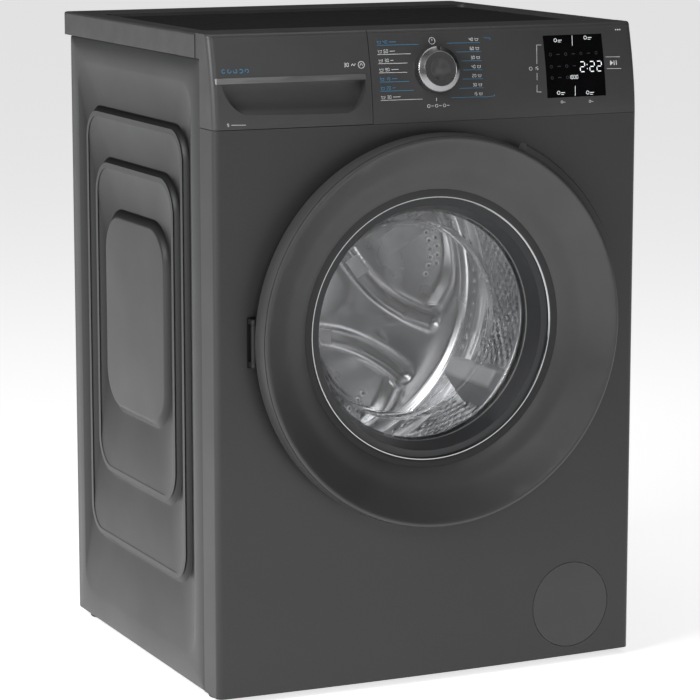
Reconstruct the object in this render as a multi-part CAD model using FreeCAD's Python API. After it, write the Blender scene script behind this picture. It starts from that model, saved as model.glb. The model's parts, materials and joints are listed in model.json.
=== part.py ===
import FreeCAD, Part

import math
import os

from FreeCAD import Vector

# Front load washing machine. Lengths are in millimetres and angles in degrees.
# X points right as seen from the front, Y points to the back, Z points up.
# The origin is on the floor, under the middle of the machine.

# Outside of the cabinet
HALF_WIDTH = 298.0        # to the outside of a side panel
RIM_PROUD = 1.0           # how far the plastic top frame stands out past a side panel
CABINET_BOTTOM = 9.0      # the feet lift the cabinet by this much
SEAM_HEIGHT = 729.0       # joint between the front panel and the control fascia
RIM_HEIGHT = 814.0        # joint between the side panels and the top frame
TOP_HEIGHT = 845.0
TOP_REAR = 291.0          # the top frame overhangs the rear panel
SIDE_FRONT = -201.0       # front edge of a side panel
SIDE_REAR = 264.0
RIM_FRONT = -189.0        # front edge of the top frame
CORNER_FRONT = -247.0     # the front face where it meets the rounded corners
FRONT_BOW = 7.0           # the middle of the front stands this far in front of its corners
CORNER_RADIUS = 8.0
FASCIA_LEAN = 20.0        # the fascia leans back by this much at its top
FASCIA_LEAN_POWER = 1.6   # the lean starts upright at the seam and grows
FASCIA_ROUNDING = 6.0     # rounding between the fascia and the top

# Wall thicknesses and gaps
SHEET = 1.0               # painted steel sheet
PLASTIC = 2.5             # moulded plastic wall
SEAM_GAP = 0.4            # visible gap between cabinet pieces
DRAWER_GAP = 0.8          # visible gap beside the drawer front

# Pressed grooves in the side panels: four outlines, each inside the one before
GROOVE_COUNT = 3
GROOVE_DEPTH = 7.0
GROOVE_RISER = 11.0       # width of the steep side of a groove
OUTLINE_FRONT = -171.0    # outermost outline
OUTLINE_REAR = 236.0
OUTLINE_BOTTOM = 44.0
OUTLINE_TOP = 781.0
OUTLINE_STEP_Y = 33.0     # from one outline to the next
OUTLINE_STEP_BOTTOM = 95.0
OUTLINE_STEP_TOP = 66.0
OUTLINE_RADIUS = 30.0
OUTLINE_RADIUS_STEP = 6.0

# Worktop
BOARD_HALF_WIDTH = 271.5
BOARD_FRONT = -155.5
BOARD_REAR = 202.5
BOARD_TOP = 841.0
BOARD_THICKNESS = 12.0
BOARD_RADIUS = 9.5
BOARD_GAP = 0.5

# Door and drum axis, which runs from front to back
AXIS_HEIGHT = 464.0
DOOR_PLANE = -252.8       # middle of the front face; heights on the door are measured from here
RIM_RADIUS = 253.0        # widest part of the door
GRIP_RADIUS = 262.0       # the lip that a hand pulls
GRIP_START = 22.5         # angles from the right, counter-clockwise as seen from the front
GRIP_END = 63.5
DISH_INNER_RADIUS = 179.5
HINGE_X = -250.5
HINGE_Y = -257.0
HINGE_PIN_RADIUS = 2.0
HINGE_KNUCKLE_RADIUS = 4.0
HINGE_HALF_HEIGHT = 30.0
HINGE_LUG_HEIGHT = 6.0
RUNNING_FIT = 0.05        # radial clearance of a shaft in its hole
RECESS_RADIUS = 226.0     # round recess of the front panel, behind the door
RECESS_FLOOR_RADIUS = 219.0
RECESS_FLOOR = -236.0
OPENING_RADIUS = 172.0
OPENING_FLANGE_END = -222.0
FRAME_OUTER_RADIUS = 214.0
FRAME_INNER_RADIUS = 164.0
FRAME_REAR = -240.5
FRAME_THICKNESS = 3.3
DOOR_SCREW_RADIUS = 201.0
DOOR_SCREW_COUNT = 6
LATCH_X = 205.0
LATCH_PIVOT_Y = -251.0
LATCH_PIVOT_Z = 468.0
LATCH_PIN_RADIUS = 1.5

# Service flap and drain pump
FLAP_X = 206.0
FLAP_HEIGHT = 79.0
FLAP_RADIUS = 56.8
FLAP_HOLE_RADIUS = 57.5
FLAP_THICKNESS = 2.5
PUMP_RADIUS = 34.0
PUMP_BORE = 30.0
PUMP_HOSE_Y = -180.0
DRAIN_Y = -150.0
DRAIN_RISE = 8.0
DRAIN_PIPE_X = 271.0
DRAIN_PIPE_RADIUS = 10.0
DRAIN_PIPE_BORE = 7.5
DRAIN_SPIGOT_HEIGHT = 690.0

# Drawer and its housing
DRAWER_RIGHT = -86.0      # seam between the drawer front and the fascia
STRIP_LEFT = -293.0
STRIP_RIGHT = -93.0
STRIP_BOTTOM = 785.0
STRIP_TOP = 792.0
STRIP_PROUD = 0.5
CAVITY_LEFT = -285.0
CAVITY_RIGHT = -93.0
CAVITY_BOTTOM = 743.0
CAVITY_DEPTH = 22.0
TRAY_LEFT = -282.0
TRAY_RIGHT = -96.0
TRAY_FRONT = -226.0
TRAY_REAR = -20.0
TRAY_BOTTOM = 743.0
TRAY_TOP = 805.0
TRAY_WALL = 2.0
SOFTENER_LEFT = -196.0    # middle compartment
SOFTENER_RIGHT = -152.0
HOUSING_LEFT = -288.0
HOUSING_RIGHT = -90.0
HOUSING_FRONT = -222.0
HOUSING_REAR = -10.0
HOUSING_BOTTOM = 738.0
HOUSING_TOP = 826.0
DISPENSER_X = -150.0      # outlet under the housing, above the tub's inlet
DISPENSER_Y = -60.0

# Controls
KNOB_X = 4.0
KNOB_HEIGHT = 793.0
KNOB_RADIUS = 29.3
KNOB_FACE_RADIUS = 22.0
KNOB_SIDE = 12.6
KNOB_LENGTH = 17.0
KNOB_STEM_RADIUS = 3.0
WINDOW_LEFT = 163.0
WINDOW_RIGHT = 251.0
WINDOW_BOTTOM = 752.0
WINDOW_TOP = 831.0
BOARD_FACE_Y = -222.0     # front face of the control board

# Tub, drum and drive
TUB_RADIUS = 240.0        # inside
TUB_WALL = 3.5
TUB_FRONT = -188.0
TUB_JOINT = -22.0
TUB_REAR = 138.0
TUB_RIB_RADIUS = 250.0
COLLAR_RADIUS = 170.0     # tub mouth, where the gasket clamps
DRUM_RADIUS = 225.0       # inside
DRUM_WALL = 1.2
DRUM_FRONT = -179.0
DRUM_BACK = 94.0
DRUM_MOUTH_RADIUS = 166.0
LIFTER_COUNT = 3
LIFTER_ANGLE = -34.0      # the first lifter, lower right
LIFTER_HEIGHT = 55.0
LIFTER_FRONT = -158.0
LIFTER_REAR = -4.0
LIFTER_SLOPE = 12.0       # the ends lean in by this much
LIFTER_HALF_BASE = 32.0
LIFTER_HALF_TIP = 13.0
SHAFT_RADIUS = 15.0
BEARING_RADIUS = 31.0
HUB_RADIUS = 48.0
HUB_REAR = 214.0
PULLEY_RADIUS = 140.0
PULLEY_FRONT = 224.0
PULLEY_REAR = 242.0
MOTOR_X = 40.0
MOTOR_HEIGHT = 128.0
MOTOR_RADIUS = 60.0
MOTOR_FRONT = 62.0
MOTOR_REAR = 198.0
MOTOR_PULLEY_RADIUS = 10.0
BELT_GAP = 0.3
BELT_THICKNESS = 3.0
WEIGHT_INNER_RADIUS = 192.0
WEIGHT_OUTER_RADIUS = 238.0
WEIGHT_FRONT = -214.0
WEIGHT_ARC = 136.0
SUMP_REAR = 112.0
HEATER_HEIGHT = 214.0
HEATER_RADIUS = 3.6
SUSPENSION_Y = 40.0
SPRING_X = 175.0
SPRING_RADIUS = 11.0
SPRING_BOTTOM = 652.0
SPRING_TOP = 786.0
DAMPER_X = 165.0
DAMPER_RADIUS = 17.0
DAMPER_BORE = 12.0
DAMPER_BOTTOM = 24.0
DAMPER_TOP = 168.0
DAMPER_ROD_RADIUS = 5.0
DAMPER_EYE_HEIGHT = 268.0

# Tray and feet
TRAY_FLOOR_BOTTOM = 12.0
FLOOR_THICKNESS = 3.0
FOOT_X = 268.0
FOOT_FRONT_Y = -199.0
FOOT_REAR_Y = 237.0
FOOT_RADIUS = 22.0
FOOT_PAD_HEIGHT = 7.0
FOOT_STEM_RADIUS = 5.0
FOOT_STEM_TOP = 48.0
FOOT_NAMES = ("foot_front_left", "foot_rear_left", "foot_front_right", "foot_rear_right")

# Rear side
COVER_RADIUS = 165.0
COVER_HEIGHT = 464.0
CAP_X = 165.0
CAP_OFFSET_Z = 125.0
INLET_X = -215.0
INLET_HEIGHT = 762.0
INLET_RADIUS = 13.2       # three quarter inch pipe thread
INLET_LENGTH = 16.0
SPIGOT_RADIUS = 10.0
SPIGOT_LENGTH = 18.0
GLAND_X = 235.0
GLAND_HEIGHT = 740.0
GLAND_BORE = 4.5

FAR = 400.0               # longer than any piece that it cuts


# ---- general shapes ----

def box(x0, x1, y0, y1, z0, z1):
    return Part.makeBox(x1 - x0, y1 - y0, z1 - z0, Vector(x0, y0, z0))


def rod(radius, start, end):
    along = Vector(*end) - Vector(*start)
    return Part.makeCylinder(radius, along.Length, Vector(*start), along)


def tube(outer, inner, start, end):
    return rod(outer, start, end).cut(rod(inner, start, end))


def turned(outline, x=0.0, z=AXIS_HEIGHT):
    """Turn a closed (radius, y) outline about the front-to-back line through x and z."""
    points = [Vector(x + radius, y, z) for radius, y in outline]
    face = Part.Face(Part.makePolygon(points + points[:1]))
    return face.revolve(Vector(x, 0, z), Vector(0, 1, 0), 360)


def turned_curves(curves):
    """Turn an outline of smooth curves, each a list of (radius, y), about the drum axis."""
    edges = []
    for curve in curves:
        points = [Vector(radius, y, AXIS_HEIGHT) for radius, y in curve]
        if len(points) == 2:
            edges.append(Part.makeLine(points[0], points[1]))
        else:
            spline = Part.BSplineCurve()
            spline.interpolate(points)
            edges.append(spline.toShape())
    face = Part.Face(Part.Wire(edges))
    return face.revolve(Vector(0, 0, AXIS_HEIGHT), Vector(0, 1, 0), 360)


def at_angle(angle, radius, y):
    """Point at an angle from the right, counter-clockwise as seen from the front."""
    turn = math.radians(angle)
    return Vector(radius * math.cos(turn), y, AXIS_HEIGHT + radius * math.sin(turn))


def turned_to(shape, angle):
    """Turn a shape that was made at the right side to an angle about the drum axis."""
    copy = shape.copy()
    copy.rotate(Vector(0, 0, AXIS_HEIGHT), Vector(0, -1, 0), angle)
    return copy


def sector(start, end, y0, y1):
    """Wedge between two angles about the drum axis, less than half a turn wide."""
    middle = 0.5 * (start + end)
    reach = FAR / math.cos(math.radians(0.5 * (end - start)))
    points = [
        at_angle(0.0, 0.0, y0),
        at_angle(start, reach, y0),
        at_angle(middle, reach, y0),
        at_angle(end, reach, y0),
    ]
    face = Part.Face(Part.makePolygon(points + points[:1]))
    return face.extrude(Vector(0, y1 - y0, 0))


def rounded_rectangle(x, y0, y1, z0, z1, radius):
    """Wire in the plane at x, with rounded corners."""
    half = radius * (1.0 - math.sqrt(0.5))
    corners = [
        (y0, z0, 1, 1),
        (y1, z0, -1, 1),
        (y1, z1, -1, -1),
        (y0, z1, 1, -1),
    ]
    arcs = []
    for index, (y, z, way_y, way_z) in enumerate(corners):
        along_y = Vector(x, y + way_y * radius, z)
        along_z = Vector(x, y, z + way_z * radius)
        middle = Vector(x, y + way_y * half, z + way_z * half)
        ends = (along_z, along_y) if index % 2 == 0 else (along_y, along_z)
        arcs.append((ends[0], middle, ends[1]))
    edges = []
    for index, (start, middle, end) in enumerate(arcs):
        edges.append(Part.Arc(start, middle, end).toShape())
        edges.append(Part.makeLine(end, arcs[(index + 1) % 4][0]))
    return Part.Wire(edges)


def pipe(points, bend, outer, inner):
    """Hose or tube along straight runs joined by round bends of one radius."""
    corners = [Vector(*point) for point in points]
    edges = []
    start = corners[0]
    for index in range(1, len(corners) - 1):
        corner = corners[index]
        before = (corners[index - 1] - corner).normalize()
        after = (corners[index + 1] - corner).normalize()
        half_angle = 0.5 * before.getAngle(after)
        setback = bend / math.tan(half_angle)
        first = corner + before * setback
        last = corner + after * setback
        inward = (before + after).normalize()
        centre = corner + inward * (bend / math.sin(half_angle))
        edges.append(Part.makeLine(start, first))
        edges.append(Part.Arc(first, centre - inward * bend, last).toShape())
        start = last
    edges.append(Part.makeLine(start, corners[-1]))
    spine = Part.Wire(edges)
    direction = corners[1] - corners[0]
    solids = []
    for radius in (outer, inner):
        circle = Part.Wire(Part.makeCircle(radius, corners[0], direction))
        solids.append(spine.makePipeShell([circle], True, False))
    return solids[0].cut(solids[1])


def mirrored_left(shape):
    """The left twin of a shape that was made on the right."""
    return shape.mirror(Vector(0, 0, 0), Vector(1, 0, 0))


# ---- the bowed front and the leaning fascia ----

def front_y(x):
    """Y of the bowed front face of the cabinet at x."""
    return CORNER_FRONT - FRONT_BOW * (1.0 - (x / (HALF_WIDTH - CORNER_RADIUS)) ** 2)


def plan_outline(inset, lean, height, back):
    """Closed outline in plan: bowed front, two rounded corners, two sides and a straight back."""
    side = HALF_WIDTH - inset
    flat = HALF_WIDTH - CORNER_RADIUS
    radius = CORNER_RADIUS - inset
    corner_y = CORNER_FRONT + CORNER_RADIUS + lean
    face_y = CORNER_FRONT + inset + lean
    slant = radius * math.sqrt(0.5)

    def point(x, y):
        return Vector(x, y, height)

    edges = [
        Part.Arc(point(-side, corner_y), point(-flat - slant, corner_y - slant), point(-flat, face_y)),
        Part.Arc(point(-flat, face_y), point(0, face_y - FRONT_BOW), point(flat, face_y)),
        Part.Arc(point(flat, face_y), point(flat + slant, corner_y - slant), point(side, corner_y)),
        Part.LineSegment(point(side, corner_y), point(side, back)),
        Part.LineSegment(point(side, back), point(-side, back)),
        Part.LineSegment(point(-side, back), point(-side, corner_y)),
    ]
    return Part.Wire([edge.toShape() for edge in edges])


def front_block(inset, bottom, top, back=SIDE_FRONT):
    """Solid block with the cabinet's bowed front, smaller all round by the inset."""
    face = Part.Face(plan_outline(inset, 0.0, bottom, back))
    return face.extrude(Vector(0, 0, top - bottom))


def lean_at(height):
    """How far the fascia has leaned back at a height."""
    share = max(0.0, (height - SEAM_HEIGHT) / (TOP_HEIGHT - SEAM_HEIGHT))
    return FASCIA_LEAN * share ** FASCIA_LEAN_POWER


def fascia_block(inset, bottom, back):
    """Solid block with the fascia's leaning front and rounded top edge, smaller by the inset."""
    rounding_start = TOP_HEIGHT - FASCIA_ROUNDING
    sections = 5
    heights = [bottom + (rounding_start - bottom) * step / sections for step in range(sections + 1)]
    leaning = Part.makeLoft([plan_outline(inset, lean_at(z), z, back) for z in heights], True)
    radius = FASCIA_ROUNDING - inset
    crown = []
    for angle in (0.0, 30.0, 60.0, 90.0):
        turn = math.radians(angle)
        lean = lean_at(rounding_start) + radius * (1.0 - math.cos(turn))
        crown.append(plan_outline(inset, lean, rounding_start + radius * math.sin(turn), back))
    return leaning.fuse(Part.makeLoft(crown, True)).removeSplitter()


def fascia_shell():
    """Hollow cap across the whole front, open at the back and below."""
    cap = fascia_block(0.0, SEAM_HEIGHT, RIM_FRONT)
    cap = cap.cut(fascia_block(PLASTIC, SEAM_HEIGHT - 1.0, RIM_FRONT + 1.0))
    behind = box(-FAR, FAR, SIDE_FRONT - SEAM_GAP, RIM_FRONT + 1.0, SEAM_HEIGHT - 1.0, RIM_HEIGHT)
    return cap.cut(behind)


def fascia_skin(outer_inset, inner_inset):
    """Thin skin that follows the fascia's face."""
    inner = fascia_block(inner_inset, SEAM_HEIGHT - 1.0, RIM_FRONT + 1.0)
    return fascia_block(outer_inset, SEAM_HEIGHT, RIM_FRONT).cut(inner)


def fascia_y(height):
    """Y of the fascia's face in the middle of the machine."""
    return CORNER_FRONT - FRONT_BOW + lean_at(height)


def knob_axis():
    """Outward direction square to the fascia at the knob."""
    rise = 1.0
    run = (lean_at(KNOB_HEIGHT + rise) - lean_at(KNOB_HEIGHT - rise)) / (2.0 * rise)
    return Vector(0, -1, run).normalize()


def knob_point(distance):
    """Point on the knob's axis, at a distance in front of the fascia."""
    return Vector(KNOB_X, fascia_y(KNOB_HEIGHT), KNOB_HEIGHT) + knob_axis() * distance


# ---- cabinet ----

def base_tray():
    outer = box(-295, 295, -236, 261, TRAY_FLOOR_BOTTOM, 45)
    hollow = box(-292, 292, -233, 258, TRAY_FLOOR_BOTTOM + FLOOR_THICKNESS, 46)
    tray = outer.cut(hollow)
    for x, y in foot_places():
        boss = rod(16, (x, y, TRAY_FLOOR_BOTTOM), (x, y, 38)).common(outer)
        tray = tray.fuse(boss)
    for side in (-1, 1):
        x = side * DAMPER_X
        tray = tray.fuse(rod(20, (x, SUSPENSION_Y, TRAY_FLOOR_BOTTOM), (x, SUSPENSION_Y, DAMPER_BOTTOM)))
    for x, y in foot_places():
        tray = tray.cut(rod(FOOT_STEM_RADIUS + RUNNING_FIT, (x, y, 0), (x, y, 60)))
    pump_room = rod(PUMP_RADIUS + 30, (FLAP_X, -FAR, FLAP_HEIGHT), (FLAP_X, -228, FLAP_HEIGHT))
    return tray.cut(pump_room)


def foot_places():
    return [(x, y) for x in (-FOOT_X, FOOT_X) for y in (FOOT_FRONT_Y, FOOT_REAR_Y)]


def groove_outline(level, grow, depth):
    """Outline of the pressed grooves at one level, on the right side panel."""
    return rounded_rectangle(
        HALF_WIDTH - depth,
        OUTLINE_FRONT + level * OUTLINE_STEP_Y - grow,
        OUTLINE_REAR - level * OUTLINE_STEP_Y + grow,
        OUTLINE_BOTTOM + level * OUTLINE_STEP_BOTTOM - grow,
        OUTLINE_TOP - level * OUTLINE_STEP_TOP + grow,
        OUTLINE_RADIUS + level * OUTLINE_RADIUS_STEP + grow,
    )


def groove(level, grow):
    """Ring-shaped scoop: a long slope in from one outline, a short riser out to the next."""
    depth = GROOVE_DEPTH + grow
    scoop = Part.makeLoft([
        groove_outline(level, grow, 0.0),
        groove_outline(level + 1, GROOVE_RISER + grow, depth),
    ], True, True)
    island = Part.makeLoft([
        groove_outline(level + 1, -grow, 0.0),
        groove_outline(level + 1, GROOVE_RISER - 1.0 - grow, depth),
    ], True, True)
    return scoop.cut(island)


def side_panel_right():
    bottom = CABINET_BOTTOM
    top = RIM_HEIGHT - SEAM_GAP
    inside = HALF_WIDTH - SHEET
    panel = box(inside, HALF_WIDTH, SIDE_FRONT, SIDE_REAR, bottom, top)
    for level in range(GROOVE_COUNT):
        panel = panel.fuse(groove(level, SHEET))
    for level in range(GROOVE_COUNT):
        panel = panel.cut(groove(level, 0.0))
    front_flange = box(inside - 16, inside, SIDE_FRONT, SIDE_FRONT + SHEET, 60, SEAM_HEIGHT - 20)
    rear_flange = box(inside - 14, inside, SIDE_REAR - SHEET, SIDE_REAR, 46, top)
    return panel.fuse([front_flange, rear_flange])


def side_panel_left():
    return mirrored_left(side_panel_right())


def recess_block(grow):
    return turned([
        (0, -FAR),
        (RECESS_RADIUS + grow, -FAR),
        (RECESS_RADIUS + grow, -250),
        (RECESS_FLOOR_RADIUS + grow, RECESS_FLOOR + grow),
        (0, RECESS_FLOOR + grow),
    ])


def front_panel():
    top = SEAM_HEIGHT - SEAM_GAP
    back = SIDE_FRONT - SEAM_GAP
    outer = front_block(0.0, CABINET_BOTTOM, top, back)
    panel = outer.cut(front_block(SHEET, CABINET_BOTTOM - 1, top + 1, back + 1))
    panel = panel.fuse(recess_block(SHEET).common(outer))
    for flange_bottom in (CABINET_BOTTOM, top - SHEET):
        edge = front_block(SHEET, flange_bottom, flange_bottom + SHEET, back)
        panel = panel.fuse(edge.common(box(-FAR, FAR, -FAR, -228, 0, TOP_HEIGHT)))
    panel = panel.cut(recess_block(0.0))
    opening_start = (0, -FAR, AXIS_HEIGHT)
    panel = panel.cut(rod(OPENING_RADIUS, opening_start, (0, 0, AXIS_HEIGHT)))
    lip = tube(OPENING_RADIUS + SHEET, OPENING_RADIUS,
               (0, RECESS_FLOOR, AXIS_HEIGHT), (0, OPENING_FLANGE_END, AXIS_HEIGHT))
    panel = panel.fuse(lip)
    flap_hole = rod(FLAP_HOLE_RADIUS, (FLAP_X, -FAR, FLAP_HEIGHT), (FLAP_X, -230, FLAP_HEIGHT))
    latch_slot = box(LATCH_X - 7, LATCH_X + 7, -FAR, -230, AXIS_HEIGHT - 12, AXIS_HEIGHT + 14)
    hinge_window = box(HINGE_X - 6, HINGE_X + 6, -FAR, -230,
                       AXIS_HEIGHT - HINGE_HALF_HEIGHT - 2, AXIS_HEIGHT + HINGE_HALF_HEIGHT + 2)
    return panel.cut([flap_hole, latch_slot, hinge_window])


def rear_panel():
    y0 = SIDE_REAR
    y1 = SIDE_REAR + 1.2
    panel = box(-292, 292, y0, y1, 12, RIM_HEIGHT - 2)
    panel = panel.cut(rod(COVER_RADIUS - 14, (0, 0, COVER_HEIGHT), (0, FAR, COVER_HEIGHT)))
    for x, z in cap_places():
        panel = panel.cut(rod(12, (x, 0, z), (x, FAR, z)))
    openings = [
        (INLET_X, INLET_HEIGHT, INLET_RADIUS + 2),
        (DRAIN_PIPE_X, DRAIN_SPIGOT_HEIGHT, DRAIN_PIPE_RADIUS + 1),
        (GLAND_X, GLAND_HEIGHT, 10.2),
    ]
    for x, z, radius in openings:
        panel = panel.cut(rod(radius, (x, 0, z), (x, FAR, z)))
    for row in range(6):
        z = 120 + 14 * row
        panel = panel.cut(box(-230, -150, 0, FAR, z, z + 5))
    return panel


def cap_places():
    return [(x, COVER_HEIGHT + z) for x in (-CAP_X, CAP_X) for z in (-CAP_OFFSET_Z, CAP_OFFSET_Z)]


def rear_service_cover():
    y = SIDE_REAR + 1.2
    skin = turned([
        (0, y + 5), (COVER_RADIUS - 16, y + 5), (COVER_RADIUS - 10, y), (COVER_RADIUS, y),
        (COVER_RADIUS, y + 1.2), (COVER_RADIUS - 9, y + 1.2), (COVER_RADIUS - 15, y + 6.2), (0, y + 6.2),
    ], 0.0, COVER_HEIGHT)
    for x, z in cover_screw_places():
        skin = skin.cut(rod(2.4, (x, y - 1, z), (x, y + 3, z)))
    return skin


def cover_screw_places():
    places = []
    for index in range(6):
        turn = math.radians(60 * index + 30)
        reach = COVER_RADIUS - 4.5
        places.append((reach * math.cos(turn), COVER_HEIGHT + reach * math.sin(turn)))
    return places


def rear_cover_screws():
    y = SIDE_REAR + 2.4
    screws = [screw_head(x, y, z) for x, z in cover_screw_places()]
    return Part.makeCompound(screws)


def screw_head(x, y, z):
    """Small pan head screw that faces the back, with a cross slot."""
    head = rod(3.8, (x, y, z), (x, y + 2.2, z))
    shank = rod(2.0, (x, y - 1.2, z), (x, y, z))
    slot = box(x - 2.4, x + 2.4, y + 1.2, y + 3, z - 0.4, z + 0.4)
    cross = box(x - 0.4, x + 0.4, y + 1.2, y + 3, z - 2.4, z + 2.4)
    return head.fuse(shank).cut([slot, cross])


def transit_caps():
    y = SIDE_REAR + 1.2
    caps = []
    for x, z in cap_places():
        disc = rod(17, (x, y, z), (x, y + 2.5, z))
        stem = tube(11.5, 9.5, (x, y - 9, z), (x, y, z))
        caps.append(disc.fuse(stem))
    return Part.makeCompound(caps)


def top_frame():
    half = HALF_WIDTH + RIM_PROUD
    front = RIM_FRONT + SEAM_GAP
    block = box(-half, half, front, TOP_REAR, RIM_HEIGHT, TOP_HEIGHT)
    corner_edges = [edge for edge in block.Edges if is_upright(edge) and edge.CenterOfMass.y > 0]
    block = block.makeFillet(8.0, corner_edges)
    top_edges = [edge for edge in block.Edges if is_rim_edge(edge, front)]
    block = block.makeFillet(3.0, top_edges)
    wall = PLASTIC
    hollow = box(-half + wall, half - wall, front - 1, TOP_REAR - wall, RIM_HEIGHT - 1, TOP_HEIGHT - wall)
    pocket_floor = BOARD_TOP - BOARD_THICKNESS
    well = box(-BOARD_HALF_WIDTH - wall - BOARD_GAP, BOARD_HALF_WIDTH + wall + BOARD_GAP,
               BOARD_FRONT - wall - BOARD_GAP, BOARD_REAR + wall + BOARD_GAP,
               pocket_floor - wall, TOP_HEIGHT)
    frame = block.cut(hollow.cut(well))
    frame = frame.cut(board_block(BOARD_GAP, pocket_floor, TOP_HEIGHT + 1))
    return frame.cut(board_block(-14.0, pocket_floor - 10, pocket_floor + 1))


def is_upright(edge):
    return abs(edge.BoundBox.ZLength) > 1.0


def is_rim_edge(edge, front):
    bounds = edge.BoundBox
    at_top = bounds.ZMin > TOP_HEIGHT - 0.5
    along_front = bounds.YMax < front + 0.5
    return at_top and not along_front


def board_block(grow, bottom, top):
    half = BOARD_HALF_WIDTH + grow
    block = box(-half, half, BOARD_FRONT - grow, BOARD_REAR + grow, bottom, top)
    uprights = [edge for edge in block.Edges if is_upright(edge)]
    return block.makeFillet(BOARD_RADIUS + max(grow, 0.0), uprights)


def worktop_board():
    return board_block(0.0, BOARD_TOP - BOARD_THICKNESS, BOARD_TOP)


def control_fascia():
    left = DRAWER_RIGHT + DRAWER_GAP
    right_part = box(left, FAR, -FAR, FAR, 0, TOP_HEIGHT + 1)
    fascia = fascia_shell().common(right_part)
    end_wall = fascia_block(0.0, SEAM_HEIGHT, SIDE_FRONT - SEAM_GAP)
    end_wall = end_wall.common(box(left, left + PLASTIC, -FAR, SIDE_FRONT - SEAM_GAP, 0, TOP_HEIGHT))
    fascia = fascia.fuse(end_wall)
    knob_hole = Part.makeCylinder(7.0, 40.0, knob_point(-20.0), knob_axis())
    window_hole = box(WINDOW_LEFT, WINDOW_RIGHT, -FAR, BOARD_FACE_Y - 2, WINDOW_BOTTOM, WINDOW_TOP)
    return fascia.cut([knob_hole, window_hole])


def display_window():
    gap = 0.15
    skin = fascia_skin(0.0, PLASTIC)
    return skin.common(box(WINDOW_LEFT + gap, WINDOW_RIGHT - gap, -FAR, BOARD_FACE_Y,
                            WINDOW_BOTTOM + gap, WINDOW_TOP - gap))


def control_board():
    board = box(-70, 282, BOARD_FACE_Y, BOARD_FACE_Y + 1.6, 742, 824)
    display = box(168, 246, BOARD_FACE_Y - 6, BOARD_FACE_Y, 758, 818)
    encoder = box(KNOB_X - 8, KNOB_X + 8, BOARD_FACE_Y - 8, BOARD_FACE_Y, KNOB_HEIGHT - 14, KNOB_HEIGHT + 6)
    socket = Part.makeCylinder(KNOB_STEM_RADIUS + RUNNING_FIT, 60.0, knob_point(-30.0), knob_axis())
    connector = box(60, 110, BOARD_FACE_Y + 1.6, BOARD_FACE_Y + 12, 750, 764)
    return board.fuse([display, encoder, connector]).cut(socket)


def spring_brace():
    """Channel across the cabinet that carries both springs."""
    y0 = SUSPENSION_Y - 16
    y1 = SUSPENSION_Y + 16
    top = box(-296.6, 296.6, y0, y1, 806, 808)
    front = box(-296.6, 296.6, y0, y0 + 2, 786, 806)
    rear = box(-296.6, 296.6, y1 - 2, y1, 786, 806)
    bars = [box(x - 14, x + 14, y0 + 2, y1 - 2, SPRING_TOP, SPRING_TOP + 3) for x in (-SPRING_X, SPRING_X)]
    return top.fuse([front, rear] + bars)


def inlet_valve():
    y = SIDE_REAR
    mouth = y + 1.2 + INLET_LENGTH
    threaded = tube(INLET_RADIUS, 7.0, (INLET_X, y - 4, INLET_HEIGHT), (INLET_X, mouth, INLET_HEIGHT))
    body = box(INLET_X - 18, INLET_X + 18, y - 40, y - 4, INLET_HEIGHT - 16, INLET_HEIGHT + 16)
    coil = rod(14, (INLET_X, y - 22, INLET_HEIGHT - 50), (INLET_X, y - 22, INLET_HEIGHT - 16))
    outlet = rod(7, (INLET_X, y - 58, INLET_HEIGHT), (INLET_X, y - 40, INLET_HEIGHT))
    return body.fuse([threaded, coil, outlet])


def cable_gland():
    y = SIDE_REAR + 1.2
    flange = rod(14, (GLAND_X, y, GLAND_HEIGHT), (GLAND_X, y + 3, GLAND_HEIGHT))
    barrel = rod(10, (GLAND_X, y - 12, GLAND_HEIGHT), (GLAND_X, y, GLAND_HEIGHT))
    nose = rod(9, (GLAND_X, y + 3, GLAND_HEIGHT), (GLAND_X, y + 12, GLAND_HEIGHT))
    bore = rod(GLAND_BORE, (GLAND_X, y - 20, GLAND_HEIGHT), (GLAND_X, y + 20, GLAND_HEIGHT))
    return flange.fuse([barrel, nose]).cut(bore)


# ---- feet ----

def foot(x, y):
    pad = rod(FOOT_RADIUS, (x, y, 0), (x, y, FOOT_PAD_HEIGHT))
    rims = [edge for edge in pad.Edges if edge.BoundBox.ZLength < 0.1]
    pad = pad.makeFillet(1.5, rims)
    return pad.fuse(rod(FOOT_STEM_RADIUS, (x, y, FOOT_PAD_HEIGHT), (x, y, FOOT_STEM_TOP)))


# ---- door ----

def door_y(height):
    """Y at a height in front of the plane that the door's sizes are measured from."""
    return DOOR_PLANE - height


def door_rim():
    """Rounded outer edge of the door, with the lip that a hand pulls."""
    outside = [(246, door_y(1.5)), (250.8, door_y(8)), (RIM_RADIUS, door_y(18)),
               (252.6, door_y(28)), (250.4, door_y(36))]
    inside = [(248.0, door_y(34.5)), (250.2, door_y(27)), (250.5, door_y(18)),
              (248.4, door_y(9)), (243.8, door_y(3.0))]
    rim = turned_curves([outside, [outside[-1], inside[0]], inside, [inside[-1], outside[0]]])
    lip_points = [(249, door_y(13)), (GRIP_RADIUS - 1.5, door_y(13)), (GRIP_RADIUS, door_y(15)),
                  (GRIP_RADIUS, door_y(26)), (GRIP_RADIUS - 3, door_y(31)), (249, door_y(35))]
    lip = turned(lip_points).common(sector(GRIP_START, GRIP_END, -FAR, 0))
    hollow = turned([(240, door_y(0)), (250.4, door_y(18)), (250.4, door_y(28)), (240, door_y(34))])
    rim = rim.fuse(lip.cut(hollow))
    half = HINGE_HALF_HEIGHT + 4
    notch = box(-FAR, -232, door_y(9.5), 0, AXIS_HEIGHT - half, AXIS_HEIGHT + half)
    return rim.cut(notch)


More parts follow.
